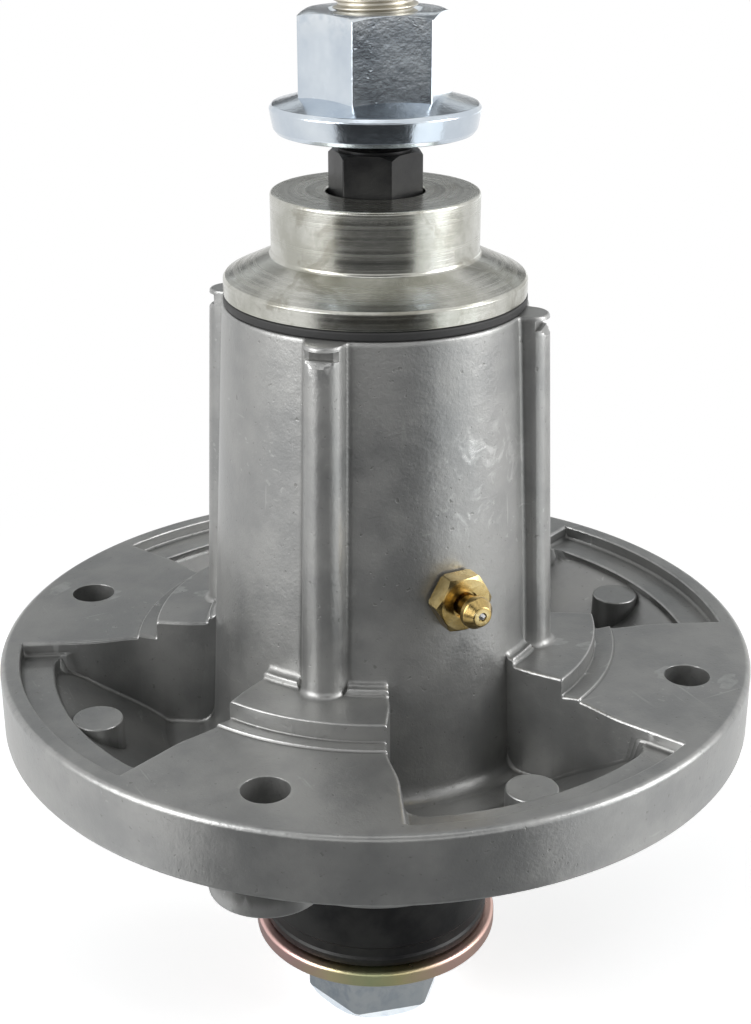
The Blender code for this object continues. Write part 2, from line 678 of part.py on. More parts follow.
def make_collar():
    """Turned steel collar that carries the pulley and presses on the upper inner race."""
    neck = shoulder_radius
    bore = race_bore_radius
    hex_clearance = drive_hex_radius + SEAT_GAP
    cone_top_radius = COLLAR_BOSS_RADIUS + 2 * EDGE_CHAMFER
    profile = [
        (hex_clearance + EDGE_CHAMFER, collar_top_z),
        (COLLAR_BOSS_RADIUS - EDGE_CHAMFER, collar_top_z),
        (COLLAR_BOSS_RADIUS, collar_top_z - EDGE_CHAMFER),
        (COLLAR_BOSS_RADIUS, collar_boss_z + EDGE_CHAMFER),
        (cone_top_radius, collar_boss_z - EDGE_CHAMFER),
        (COLLAR_RADIUS - EDGE_CHAMFER / 2, collar_cone_z + EDGE_CHAMFER / 2),
        (COLLAR_RADIUS, collar_cone_z - EDGE_CHAMFER / 2),
        (COLLAR_RADIUS, collar_rim_z + EDGE_CHAMFER / 2),
        (COLLAR_RADIUS - EDGE_CHAMFER / 2, collar_rim_z),
        (neck, collar_rim_z),
        (neck, collar_neck_z),
        (bore, collar_neck_z),
        (bore, collar_top_z - COLLAR_TOP_WALL),
        (hex_clearance, collar_top_z - COLLAR_TOP_WALL),
        (hex_clearance, collar_top_z - EDGE_CHAMFER),
    ]
    return finish(turned("pulley_collar", profile, parts, steps=WIDE_STEPS), turned_steel, spin_axis)


def make_dust_seals():
    """Rubber rings that turn with the shaft and shield the bearings' open sides."""
    inner = shoulder_radius + SEAT_GAP
    thick = DUST_SEAL_THICKNESS
    waist = (inner + lower_seal_radius) / 2
    upper = [
        (inner, upper_seal_z + thick),
        (UPPER_SEAL_RADIUS - thick / 2, upper_seal_z + thick),
        (UPPER_SEAL_RADIUS, upper_seal_z + thick / 2),
        (UPPER_SEAL_RADIUS - thick / 2, upper_seal_z),
        (waist, upper_seal_z),
        (waist - SEAL_LIP_HEIGHT, upper_seal_z + SEAL_LIP_HEIGHT),
        (inner, upper_seal_z + SEAL_LIP_HEIGHT),
    ]
    lower_z = seat_top_z + SEAT_GAP
    lower = [
        (inner, lower_z + thick - SEAL_LIP_HEIGHT),
        (waist - SEAL_LIP_HEIGHT, lower_z + thick - SEAL_LIP_HEIGHT),
        (waist, lower_z + thick),
        (lower_seal_radius - SEAL_LIP_HEIGHT, lower_z + thick),
        (lower_seal_radius, lower_z + thick - SEAL_LIP_HEIGHT),
        (lower_seal_radius, lower_z),
        (inner, lower_z),
    ]
    finish(turned("upper_dust_seal", upper, parts, steps=WIDE_STEPS), black_rubber, spin_axis)
    finish(turned("lower_dust_seal", lower, parts), black_rubber, spin_axis)


def make_spacer():
    """Sleeve that keeps the two inner races apart and carries the clamp load."""
    bottom = lower_bearing_top_z + SEAT_GAP
    top = upper_bearing_bottom_z - SEAT_GAP
    outer = race_bore_radius + SPACER_WALL
    profile = [
        (race_bore_radius, top),
        (outer - RACE_CHAMFER, top),
        (outer, top - RACE_CHAMFER),
        (outer, bottom + RACE_CHAMFER),
        (outer - RACE_CHAMFER, bottom),
        (race_bore_radius, bottom),
    ]
    return finish(turned("bearing_spacer", profile, parts), turned_steel, spin_axis)


def race_groove(side):
    """Arc of the ball groove, seen from the race's wall: side is 1 outward, -1 inward."""
    reach = math.degrees(math.acos(RACE_LIP_SHARE))
    if side > 0:
        return arc((ball_pitch_radius, 0.0), groove_radius, -reach, reach, steps=4)
    return arc((ball_pitch_radius, 0.0), groove_radius, 180.0 - reach, 180.0 + reach, steps=4)


def make_bearing(name, centre_z, cage_axis):
    """One sealed deep-groove ball bearing, built about its middle plane."""
    half = BEARING_WIDTH / 2
    chamfer = RACE_CHAMFER
    outer_lip = ball_pitch_radius + race_lip
    inner_lip = ball_pitch_radius - race_lip
    seal_z = half - BEARING_SEAL_THICKNESS - 2 * SEAT_GAP
    seal_seat = outer_lip + BEARING_SEAL_SEAT
    outer_race = [
        (seal_seat, half),
        (BEARING_RADIUS - chamfer, half),
        (BEARING_RADIUS, half - chamfer),
        (BEARING_RADIUS, chamfer - half),
        (BEARING_RADIUS - chamfer, -half),
        (seal_seat, -half),
        (seal_seat, -seal_z),
        (outer_lip, -seal_z),
    ]
    outer_race += race_groove(1)
    outer_race += [(outer_lip, seal_z), (seal_seat, seal_z)]
    inner_race = [(race_bore_radius + chamfer, half), (inner_lip, half)]
    inner_race += race_groove(-1)
    inner_race += [
        (inner_lip, -half),
        (race_bore_radius + chamfer, -half),
        (race_bore_radius, chamfer - half),
        (race_bore_radius, half - chamfer),
    ]
    place = (0.0, 0.0, centre_z)
    for label, profile, axis in (("outer_race", outer_race, None), ("inner_race", inner_race, spin_axis)):
        race = turned(name + "_" + label, profile, parts, steps=RACE_STEPS)
        race.location = place
        finish(race, bearing_steel, axis)
    for label, side in (("top_seal", 1), ("bottom_seal", -1)):
        near = seal_z + SEAT_GAP
        far = near + BEARING_SEAL_THICKNESS
        levels = (far, near) if side > 0 else (-near, -far)
        ring = [
            (inner_lip + RUN_GAP, levels[0]),
            (seal_seat - SEAT_GAP, levels[0]),
            (seal_seat - SEAT_GAP, levels[1]),
            (inner_lip + RUN_GAP, levels[1]),
        ]
        seal = turned(name + "_" + label, ring, parts, steps=RACE_STEPS)
        seal.location = place
        finish(seal, black_rubber)
    make_cage(name, cage_axis)
    make_balls(name, cage_axis)


def make_cage(name, cage_axis):
    """Crown cage: a plain ring on one side and fingers that wrap the balls."""
    wall = race_lip - CAGE_RING_GAP
    ring = [
        (ball_pitch_radius - wall, CAGE_FINGER),
        (ball_pitch_radius + wall, CAGE_FINGER),
        (ball_pitch_radius + wall, -groove_radius - CAGE_WALL),
        (ball_pitch_radius - wall, -groove_radius - CAGE_WALL),
    ]
    cage = turned(name + "_cage", ring, parts, steps=RACE_STEPS)
    shape = bmesh.new()
    for i in range(BALL_COUNT):
        bmesh.ops.create_uvsphere(
            shape,
            u_segments=SMALL_STEPS,
            v_segments=SMALL_STEPS // 2,
            radius=groove_radius / math.cos(math.pi / SMALL_STEPS),
            matrix=Matrix.Translation(around(ball_pitch_radius, 360.0 * i / BALL_COUNT)),
        )
    balls = new_object(name + "_cage_pockets", mesh_from(name + "_cage_pockets", shape), cutters)
    combine(cage, as_cutter(balls), "DIFFERENCE")
    finish(cage, cage_nylon, None)
    cage.parent = cage_axis


def make_balls(name, cage_axis):
    shape = bmesh.new()
    bmesh.ops.create_icosphere(shape, subdivisions=2, radius=ball_radius)
    mesh = mesh_from(name + "_ball", shape)
    mesh.materials.append(bearing_steel)
    mesh.shade_smooth()
    for i in range(BALL_COUNT):
        ball = new_object(name + "_ball_" + str(i + 1), mesh, parts)
        ball.location = around(ball_pitch_radius, 360.0 * i / BALL_COUNT)
        ball.parent = cage_axis


def fitting_levels():
    """Distances from the spindle axis of the fitting's steps, from its thread to its tip."""
    seat = tube_radius_at(fitting_z) + SEAT_GAP
    neck = seat + FITTING_HEX_HEIGHT
    head = neck + FITTING_NECK_HEIGHT
    tip = head + FITTING_HEAD_HEIGHT
    return seat - FITTING_THREAD_LENGTH, seat, neck, head, tip


def make_grease_fitting():
    """Grease fitting, its check ball and spring, built along Z and laid along -Y."""
    thread, seat, neck, head, tip = fitting_levels()
    bore = FITTING_BORE_RADIUS
    mouth = FITTING_MOUTH_RADIUS
    crimp_z = thread + FITTING_MOUTH_LENGTH
    seat_z = tip - FITTING_MOUTH_LENGTH
    profile = [
        (mouth, tip),
        (FITTING_NECK_RADIUS, tip),
        (FITTING_HEAD_RADIUS, tip - FITTING_HEAD_HEIGHT / 3),
        (FITTING_HEAD_RADIUS, head + FITTING_HEAD_HEIGHT / 4),
        (FITTING_NECK_RADIUS, head),
        (FITTING_NECK_RADIUS, neck - SEAT_GAP),
        (FITTING_THREAD_RADIUS, neck - SEAT_GAP),
        (FITTING_THREAD_RADIUS, thread),
        (mouth, thread),
        (mouth, crimp_z),
        (bore, crimp_z),
        (bore, seat_z),
        (mouth, seat_z),
    ]
    body = turned("grease_fitting", profile, parts, steps=SMALL_STEPS)
    nut = prism("fitting_hexagon", FITTING_HEX_FLATS / 2 / math.cos(math.pi / 6), seat, neck, cutters, 6)
    core = prism("fitting_hexagon_core", FITTING_THREAD_RADIUS - SEAT_GAP, seat - EDGE_CHAMFER,
                 neck + EDGE_CHAMFER, cutters, SMALL_STEPS)
    combine(as_cutter(nut), as_cutter(core), "DIFFERENCE")
    combine(body, nut, "UNION")
    lay_down(finish(body, yellow_brass, None))
    ball_z = seat_z - CHECK_BALL_RADIUS - CHECK_SPRING_GAP
    shape = bmesh.new()
    bmesh.ops.create_icosphere(shape, subdivisions=2, radius=CHECK_BALL_RADIUS)
    ball = new_object("grease_check_ball", mesh_from("grease_check_ball", shape), parts)
    ball.data.transform(Matrix.Translation((0.0, 0.0, ball_z)))
    lay_down(finish(ball, bearing_steel, None))
    spring_top = ball_z - CHECK_BALL_RADIUS - CHECK_SPRING_GAP - CHECK_SPRING_WIRE
    spring_bottom = crimp_z + CHECK_SPRING_GAP + CHECK_SPRING_WIRE
    lay_down(make_spring(spring_bottom, spring_top))


def make_spring(bottom, top):
    """Helical check spring: a round wire on a coil that just clears the fitting's bore."""
    radius = FITTING_BORE_RADIUS - CHECK_SPRING_WIRE - CHECK_SPRING_GAP
    steps = 8 * CHECK_SPRING_TURNS
    curve = bpy.data.curves.new("grease_check_spring", "CURVE")
    curve.dimensions = "3D"
    curve.bevel_depth = CHECK_SPRING_WIRE
    curve.bevel_resolution = 0
    curve.use_fill_caps = True
    line = curve.splines.new("POLY")
    line.points.add(steps)
    for i in range(steps + 1):
        turn = 2 * math.pi * CHECK_SPRING_TURNS * i / steps
        height = bottom + (top - bottom) * i / steps
        line.points[i].co = (radius * math.cos(turn), radius * math.sin(turn), height, 1.0)
    wire = new_object("spring_wire", curve, cutters)
    mesh = evaluated_mesh(wire)
    bpy.data.objects.remove(wire, do_unlink=True)
    shape = bmesh.new()
    shape.from_mesh(mesh)
    bmesh.ops.remove_doubles(shape, verts=list(shape.verts), dist=WELD)
    bmesh.ops.recalc_face_normals(shape, faces=list(shape.faces))
    shape.to_mesh(mesh)
    shape.free()
    spring = new_object("grease_check_spring", mesh, parts)
    mesh.materials.append(bearing_steel)
    return spring


def lay_down(item):
    """Turns a piece built along +Z to lie along -Y at the fitting's height."""
    item.rotation_euler = (math.pi / 2, 0.0, 0.0)
    item.location = (0.0, 0.0, fitting_z)


clear_scene()
parts = new_collection("mower_spindle")
cutters = new_collection("cutters")

cast_aluminium = new_material("cast_aluminium", (0.36, 0.36, 0.35), 0.5, 0.6)
turned_steel = new_material("turned_steel", (0.50, 0.50, 0.45), 0.3, 1.0)
bright_zinc = new_material("bright_zinc", (0.66, 0.70, 0.72), 0.25, 1.0)
yellow_zinc = new_material("yellow_zinc", (0.62, 0.55, 0.30), 0.35, 1.0)
yellow_brass = new_material("yellow_brass", (0.80, 0.56, 0.14), 0.25, 1.0)
black_oxide = new_material("black_oxide", (0.02, 0.02, 0.02), 0.4, 0.5)
black_rubber = new_material("black_rubber", (0.015, 0.015, 0.015), 0.6, 0.0)
bearing_steel = new_material("bearing_steel", (0.60, 0.60, 0.60), 0.15, 1.0)
cage_nylon = new_material("cage_nylon", (0.75, 0.70, 0.55), 0.5, 0.0)

spin_axis = new_empty("spin_axis", (0.0, 0.0, 0.0))
lower_cage_axis = new_empty("lower_cage_axis", (0.0, 0.0, lower_bearing_z))
upper_cage_axis = new_empty("upper_cage_axis", (0.0, 0.0, upper_bearing_z))

make_housing()
make_shaft()
make_nut()
make_bolt()
make_washer()
make_collar()
make_dust_seals()
make_spacer()
make_bearing("lower_bearing", lower_bearing_z, lower_cage_axis)
make_bearing("upper_bearing", upper_bearing_z, upper_cage_axis)
make_grease_fitting()
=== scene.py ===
"""Looks of the mower deck blade spindle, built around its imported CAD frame.

Shapes are worked in millimetres and scaled to metres when a piece is finished. Angles are in
degrees, measured from -Y towards +X, as in the part's source.
"""
import math

import bmesh
import bpy
from mathutils import Matrix, Vector


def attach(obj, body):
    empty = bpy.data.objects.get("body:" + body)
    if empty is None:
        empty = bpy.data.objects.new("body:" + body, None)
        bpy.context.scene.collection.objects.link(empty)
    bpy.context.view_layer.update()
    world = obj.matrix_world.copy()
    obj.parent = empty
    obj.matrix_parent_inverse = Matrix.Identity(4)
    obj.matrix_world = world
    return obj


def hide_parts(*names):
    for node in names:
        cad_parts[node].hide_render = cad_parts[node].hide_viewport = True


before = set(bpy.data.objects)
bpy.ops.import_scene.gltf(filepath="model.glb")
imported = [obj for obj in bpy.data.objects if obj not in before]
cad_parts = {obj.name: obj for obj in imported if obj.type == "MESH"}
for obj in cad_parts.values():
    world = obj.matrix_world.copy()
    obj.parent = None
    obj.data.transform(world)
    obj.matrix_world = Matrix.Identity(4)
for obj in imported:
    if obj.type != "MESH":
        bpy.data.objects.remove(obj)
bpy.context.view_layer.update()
scene = bpy.context.scene

MM = 0.001
WELD = 0.001
ROUND_STEPS = 96

# Camera, solved from the photograph
CAMERA_PLACE = (-0.1496, -0.2850, 0.2502)
CAMERA_TILT = 67.6
CAMERA_TURN = -27.7
CAMERA_LENS = 59.48

# Housing. Heights are above the blade bolt's underside
TUBE_TOP = 162.6
TUBE_RADIUS = 30.0
TUBE_SLOPE = math.tan(math.radians(2.9))
TUBE_EDGE = 0.6
RIB_TOP_RADIUS = 3.8
RIB_FOOT_RADIUS = 4.5
RIB_TOP_PROUD = 4.7
RIB_FOOT_PROUD = 4.0
RIB_RUN = 70.0
RIB_ROOT = 1.3
NOTCH_TOP = 161.7
NOTCH_FOOT = 159.8
NOTCH_PLANE = 32.7
NOTCH_BEVEL_FOOT = 158.7
NOTCH_LAND_ANGLE = 5.9
PAD_HALF_ANGLE = 21.6
PAD_WAIST = 1.7
PAD_WAIST_RADIUS = 48.5
PAD_WAIST_REACH = 12.0
LAND_RADIUS = 35.1
LAND_TOP = 95.0
PILOT_RADIUS = 46.0
PILOT_TOP = 93.6
LEDGE_RING_RADIUS = 50.0
LEDGE_RING_TOP = 90.6
LEDGE_RING_DISH = 0.2
DECK = 90.0
PAD_FILLET = 1.4
POCKET_FILLET = 3.5
POCKET_LEDGE_TOP = 87.0
POCKET_LEDGE_RADIUS = 67.1
POCKET_SLOPE_TOP = 85.2
POCKET_SLOPE = math.tan(math.radians(34.0))
POCKET_FLOOR = 70.0
POCKET_CORNER = 5.0
RIM_RADIUS = 74.0
FLANGE_RADIUS = 78.0
FLANGE_EDGE = 1.2
FLANGE_BOTTOM = 75.5
BOLT_CIRCLE = 65.7
ISLAND_CIRCLE = 61.8
BOLT_HOLE_RADIUS = 4.5
PAD_ANGLES = (-45.0, 45.0, 135.0, 225.0)
POCKET_ANGLES = (0.0, 90.0, 180.0, 270.0)

# Stack on the shaft
NUT_FLATS = 25.7
NUT_TURN = 16.5
BOLT_FLATS = 27.0
THREAD_RADIUS = 7.9
THREAD_PITCH = 1.5
THREAD_TOP = 220.5
FITTING_HEIGHT = 112.0

# Lays a shape built along Z along -Y at the fitting's height
LAID_AT_FITTING = Matrix.Translation((0.0, 0.0, FITTING_HEIGHT)) @ Matrix.Rotation(math.pi / 2, 4, "X")

# Pointiness at which the painted shade in a hollow begins and is darkest
HOLLOW_START = 0.497
HOLLOW_END = 0.465

# A place on the tube that has been rubbed bright, in metres
RUBBED_SPOT = (0.0078, -0.0305, 0.1345)
RUBBED_REACH = 0.016

# Height in metres above which the shaft's thread is bare steel
BARE_END_HEIGHT = 0.2160

# Direction across the washer along which its plating changes tint
TINT_DIRECTION = (0.885, -0.465, 0.0)

# How much of the white floor near the object doesn't depend on the lamps
FLOOR_FILL = 0.55
LIGHT_TARGET = (0.0, 0.0, 0.10)


def make_camera():
    lens = bpy.data.cameras.new("photo_view")
    lens.lens = CAMERA_LENS
    lens.sensor_width = 36.0
    lens.clip_start = 0.01
    camera = bpy.data.objects.new("photo_view", lens)
    camera.location = CAMERA_PLACE
    camera.rotation_euler = (math.radians(CAMERA_TILT), 0.0, math.radians(CAMERA_TURN))
    scene.collection.objects.link(camera)
    scene.camera = camera


# Shapes


def rounded(corners, closed=False, steps=4):
    """Profile points from (radius, height, fillet) corners, with each fillet drawn as an arc."""
    points = []
    for i, corner in enumerate(corners):
        here = Vector(corner[:2])
        fillet = corner[2] if len(corner) > 2 else 0.0
        if not fillet or (not closed and i in (0, len(corners) - 1)):
            points.append(here)
            continue
        before = (Vector(corners[i - 1][:2]) - here).normalized()
        after = (Vector(corners[(i + 1) % len(corners)][:2]) - here).normalized()
        half = before.angle(after) / 2
        centre = here + (before + after).normalized() * fillet / math.sin(half)
        start = here + before * fillet / math.tan(half) - centre
        end = here + after * fillet / math.tan(half) - centre
        sweep = math.atan2(start.x * end.y - start.y * end.x, start.dot(end))
        for k in range(steps + 1):
            points.append(centre + Matrix.Rotation(sweep * k / steps, 2) @ start)
    return points


def spun(profile, closed=False, steps=ROUND_STEPS):
    """Turns a profile of (radius, height) points about the spindle axis."""
    shape = bmesh.new()
    verts = [shape.verts.new((point[0], 0.0, point[1])) for point in profile]
    edges = [shape.edges.new(pair) for pair in zip(verts, verts[1:])]
    if closed:
        edges.append(shape.edges.new((verts[-1], verts[0])))
    bmesh.ops.spin(shape, geom=verts + edges, cent=(0, 0, 0), axis=(0, 0, 1), angle=2 * math.pi,
                   steps=steps, use_merge=True)
    return cleaned(shape)


def cleaned(shape):
    bmesh.ops.remove_doubles(shape, verts=list(shape.verts), dist=WELD)
    bmesh.ops.recalc_face_normals(shape, faces=list(shape.faces))
    return shape


def placed(shape, matrix):
    bmesh.ops.transform(shape, verts=list(shape.verts), matrix=matrix)
    return shape


def around(shape, radius, angles):
    """The shape repeated round the spindle axis, in one mesh."""
    mesh = bpy.data.meshes.new("repeat")
    shape.to_mesh(mesh)
    shape.free()
    ring = bmesh.new()
    for angle in angles:
        before = len(ring.verts)
        ring.from_mesh(mesh)
        ring.verts.ensure_lookup_table()
        turn = Matrix.Rotation(math.radians(angle), 4, "Z")
        bmesh.ops.transform(ring, verts=ring.verts[before:],
                            matrix=turn @ Matrix.Translation((0.0, -radius, 0.0)))
    bpy.data.meshes.remove(mesh)
    return ring


def work_item(shape):
    mesh = bpy.data.meshes.new("work")
    shape.to_mesh(mesh)
    shape.free()
    item = bpy.data.objects.new("work", mesh)
    scene.collection.objects.link(item)
    return item


def combined(shape, other, operation):
    """The first shape with the second added, cut away or kept in common."""
    item = work_item(shape)
    tool = work_item(other)
    boolean = item.modifiers.new("combine", "BOOLEAN")
    boolean.operation = operation
    boolean.solver = "EXACT"
    boolean.object = tool
    bpy.context.view_layer.update()
    evaluated = item.evaluated_get(bpy.context.evaluated_depsgraph_get())
    result = bmesh.new()
    result.from_mesh(evaluated.to_mesh())
    for used in (item, tool):
        bpy.data.objects.remove(used, do_unlink=True)
    bmesh.ops.remove_doubles(result, verts=list(result.verts), dist=WELD)
    return result


def finished(name, shape, material, body, nodes, edge_angle=28.0):
    """Scales a shape to metres and hands it over as a piece in place of CAD nodes."""
    bmesh.ops.scale(shape, verts=list(shape.verts), vec=(MM, MM, MM))
    mesh = bpy.data.meshes.new(name)
    shape.to_mesh(mesh)
    shape.free()
    mesh.materials.append(material)
    mesh.shade_smooth()
    mesh.set_sharp_from_angle(angle=math.radians(edge_angle))
    item = bpy.data.objects.new(name, mesh)
    scene.collection.objects.link(item)
    weighted = item.modifiers.new("flats_stay_flat", "WEIGHTED_NORMAL")
    weighted.keep_sharp = True
    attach(item, body)
    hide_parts(*nodes)
    return item


def hexagon(flats, bottom, top, turn, edge=0.3):
    """Upright hexagonal bar with softened corners."""
    shape = bmesh.new()
    middle = Matrix.Translation((0.0, 0.0, (bottom + top) / 2))
    radius = flats / 2 / math.cos(math.pi / 6)
    bmesh.ops.create_cone(shape, cap_ends=True, segments=6, radius1=radius, radius2=radius,
                          depth=top - bottom,
                          matrix=middle @ Matrix.Rotation(math.radians(turn), 4, "Z"))
    upright = [e for e in shape.edges if abs(e.verts[0].co.z - e.verts[1].co.z) > edge]
    bmesh.ops.bevel(shape, geom=upright, offset=edge, offset_type="OFFSET", affect="EDGES",
                    segments=3, profile=0.5, material=-1)
    return shape


def threaded_rod(crest, pitch, bottom, top, chamfer=0.9, steps=40):
    """Closed rod with a helical thread, chamfered at both ends."""
    root = crest - 0.61 * pitch
    start = bottom - 2 * pitch
    shape = bmesh.new()
    profile = ((root, 0.0), (root, 0.125), (crest, 0.4375), (crest, 0.5625), (root, 0.875), (root, 1.0))
    verts = [shape.verts.new((radius, 0.0, start + share * pitch)) for radius, share in profile]
    edges = [shape.edges.new(pair) for pair in zip(verts, verts[1:])]
    turns = math.ceil((top - bottom) / pitch) + 3
    bmesh.ops.spin(shape, geom=verts + edges, cent=(0, 0, 0), axis=(0, 0, 1),
                   dvec=(0.0, 0.0, pitch / steps), angle=2 * math.pi * turns, steps=steps * turns)
    bmesh.ops.remove_doubles(shape, verts=list(shape.verts), dist=WELD)
    for height, up in ((bottom, -1.0), (top, 1.0)):
        bmesh.ops.bisect_plane(shape, geom=list(shape.verts) + list(shape.edges) + list(shape.faces),
                               dist=WELD / 10, plane_co=(0.0, 0.0, height), plane_no=(0.0, 0.0, up),
                               clear_outer=True)
        rim = [e for e in shape.edges if e.is_boundary
               and all(abs(v.co.z - height) < WELD for v in e.verts)]
        bmesh.ops.contextual_create(shape, geom=rim)
    bmesh.ops.recalc_face_normals(shape, faces=list(shape.faces))
    envelope = spun([(0.0, bottom - 1.0), (crest - chamfer, bottom - 1.0), (crest - chamfer, bottom),
                     (crest + 0.1, bottom + chamfer + 0.1), (crest + 0.1, top - chamfer - 0.1),
                     (crest - chamfer, top), (crest - chamfer, top + 1.0), (0.0, top + 1.0)], steps=steps)
    return combined(shape, envelope, "INTERSECT")


# Housing: one turned skin whose sections change round the axis


def tube_radius(height):
    return TUBE_RADIUS + (TUBE_TOP - height) * TUBE_SLOPE


def tube_outline(angle, height):
    """Outer radius of the drafted tube with a half-round rib over each pad's middle."""
    tube = tube_radius(height)
    share = min(1.0, (TUBE_TOP - height) / RIB_RUN)
    rib = RIB_TOP_RADIUS + (RIB_FOOT_RADIUS - RIB_TOP_RADIUS) * share
    middle = tube + RIB_TOP_PROUD + (RIB_FOOT_PROUD - RIB_TOP_PROUD) * share - rib
    reach = tube + RIB_ROOT
    meet = math.acos((middle ** 2 + reach ** 2 - (rib + RIB_ROOT) ** 2) / (2 * middle * reach))
    turn = abs(math.radians(angle))
    if turn >= meet:
        return tube
    share = rib / (rib + RIB_ROOT)
    touch = math.atan2(reach * math.sin(meet) * share,
                       middle + (reach * math.cos(meet) - middle) * share)
    if turn > touch:
        off = reach * math.sin(meet - turn)
        return reach * math.cos(meet - turn) - math.sqrt(max(0.0, RIB_ROOT ** 2 - off ** 2))
    off = middle * math.sin(turn)
    radius = middle * math.cos(turn) + math.sqrt(max(0.0, rib ** 2 - off ** 2))
    if angle < NOTCH_LAND_ANGLE:
        if NOTCH_FOOT < height < NOTCH_TOP:
            radius = min(radius, NOTCH_PLANE / math.cos(turn))
        elif NOTCH_BEVEL_FOOT < height <= NOTCH_FOOT:
            lean = NOTCH_PLANE + 2.0 - (height - NOTCH_BEVEL_FOOT)
            radius = min(radius, lean / math.cos(turn))
    return radius


def ease(distance, radius):
    """How far a quarter-round edge has fallen at a distance inside it."""
    if distance >= radius:
        return 0.0
    gap = radius - max(distance, 0.0)
    return radius - math.sqrt(radius ** 2 - gap ** 2)


def step(distance, high, low, crown, foot):
    """Height across a wall with a rounded crown and foot. Distance is negative on the high side."""
    share = max(0.0, min(1.0, (high - low) / (crown + foot)))
    if distance <= 0.0:
        return high - ease(-distance, crown * share)
    return low + ease(distance, foot * share)


def pad_height(radius):
    if radius < LAND_RADIUS + 1.0:
        return step(radius - LAND_RADIUS, LAND_TOP, PILOT_TOP, 0.5, 0.7)
    ring_top = LEDGE_RING_TOP - LEDGE_RING_DISH * max(0.0, LEDGE_RING_RADIUS - max(radius, PILOT_RADIUS))
    if radius < PILOT_RADIUS + 1.0:
        return step(radius - PILOT_RADIUS, PILOT_TOP, ring_top, 0.4, 0.5)
    return step(radius - LEDGE_RING_RADIUS, ring_top, DECK, 0.3, 0.3)


def pocket_height(radius, side):
    """Floor, slope, ledge and rim of a pocket. Side is the distance from the pad's wall."""
    slope = max(POCKET_FLOOR, POCKET_SLOPE_TOP - (POCKET_LEDGE_RADIUS - radius) * POCKET_SLOPE)
    inward = POCKET_LEDGE_RADIUS - radius
    if radius > RIM_RADIUS - 1.5:
        return step(RIM_RADIUS - radius, DECK, POCKET_LEDGE_TOP, 0.5, 0.9)
    distance = inward
    if side < POCKET_CORNER:
        distance = POCKET_CORNER
        if inward < POCKET_CORNER:
            distance -= math.hypot(POCKET_CORNER - side, POCKET_CORNER - inward)
    return step(distance, POCKET_LEDGE_TOP, slope, 0.6, 0.8)


def top_height(radius, angle):
    side = math.radians(abs(angle) - PAD_HALF_ANGLE) * radius
    return step(side, pad_height(radius), pocket_height(radius, side), 0.8, 1.0)


def waisted(angle, radius):
    """The angle of a section line where the pads' sides draw in beside the pilot."""
    share = max(0.0, 1.0 - abs(radius - PAD_WAIST_RADIUS) / PAD_WAIST_REACH)
    side = PAD_HALF_ANGLE - PAD_WAIST * share * share * (3.0 - 2.0 * share)
    if abs(angle) <= PAD_HALF_ANGLE:
        return angle * side / PAD_HALF_ANGLE
    beyond = side + (abs(angle) - PAD_HALF_ANGLE) * (45.0 - side) / (45.0 - PAD_HALF_ANGLE)
    return math.copysign(beyond, angle)


def spread(start, end, count):
    return [start + (end - start) * (i + 1) / count for i in range(count)]


def housing_angles():
    """Angles of the section lines, closer together at the ribs and at the pads' walls."""
    half = [0.0, 1.5, 3.0, 3.8, 4.6, 5.3, 5.85, 5.95, 6.4, 6.9, 7.4, 7.9, 8.5, 9.2, 10.0, 11.0, 12.3, 13.8,
            15.5, 17.2, 18.8, 19.9, 20.6, 21.0, 21.3, 21.5, 21.59, 21.61, 21.75, 22.0, 22.4, 22.9, 23.6,
            24.5, 25.6, 26.9, 28.3, 29.9, 31.6, 33.4, 35.3, 37.2, 39.1, 41.0, 43.0, 45.0]
    one = [-angle for angle in reversed(half)] + half[1:-1]
    return [(pad, angle) for pad in PAD_ANGLES for angle in one]


TUBE_LEVELS = [161.72, 161.68, 160.8, 159.82, 159.78, 159.3, 158.68, 157.0, 152.0, 145.0, 137.0, 129.0,
               121.0, 115.0, 109.0, 104.0, 100.0]
TOP_RADII = ([34.82, 34.92, 35.02, 35.08, 35.11, 35.2, 35.35, 35.55, 35.75, 36.3, 37.2, 38.2, 39.2]
             + spread(39.2, 45.0, 5)
             + [45.3, 45.6, 45.7, 45.8, 45.9, 45.97, 45.995, 46.005, 46.03, 46.12, 46.25, 46.4, 46.52,
                47.2, 48.3, 49.3, 49.7, 49.8, 49.9, 49.99, 50.01, 50.1, 50.25, 50.45, 51.0]
             + spread(51.0, 65.9, 15)
             + [66.3, 66.6, 66.85, 67.05, 67.15, 67.3, 67.5, 67.75, 68.3]
             + spread(68.3, 72.5, 5)
             + [73.1, 73.4, 73.7, 73.9, 73.98, 74.02, 74.15, 74.35, 74.6, 75.2, 76.0])
UNDERSIDE = rounded([
    (FLANGE_RADIUS, 84.0),
    (FLANGE_RADIUS, FLANGE_BOTTOM, FLANGE_EDGE),
    (61.1, FLANGE_BOTTOM, 2.0),
    (43.8, 63.8, 3.0),
    (30.0, 63.8, 3.5),
    (30.0, 41.0, 0.6),
    (26.3, 41.0, 0.3),
    (26.3, 58.0),
    (22.5, 58.0),
    (22.5, 146.6),
    (26.3, 146.6),
    (26.3, TUBE_TOP, 0.3),
    (28.5, TUBE_TOP),
])


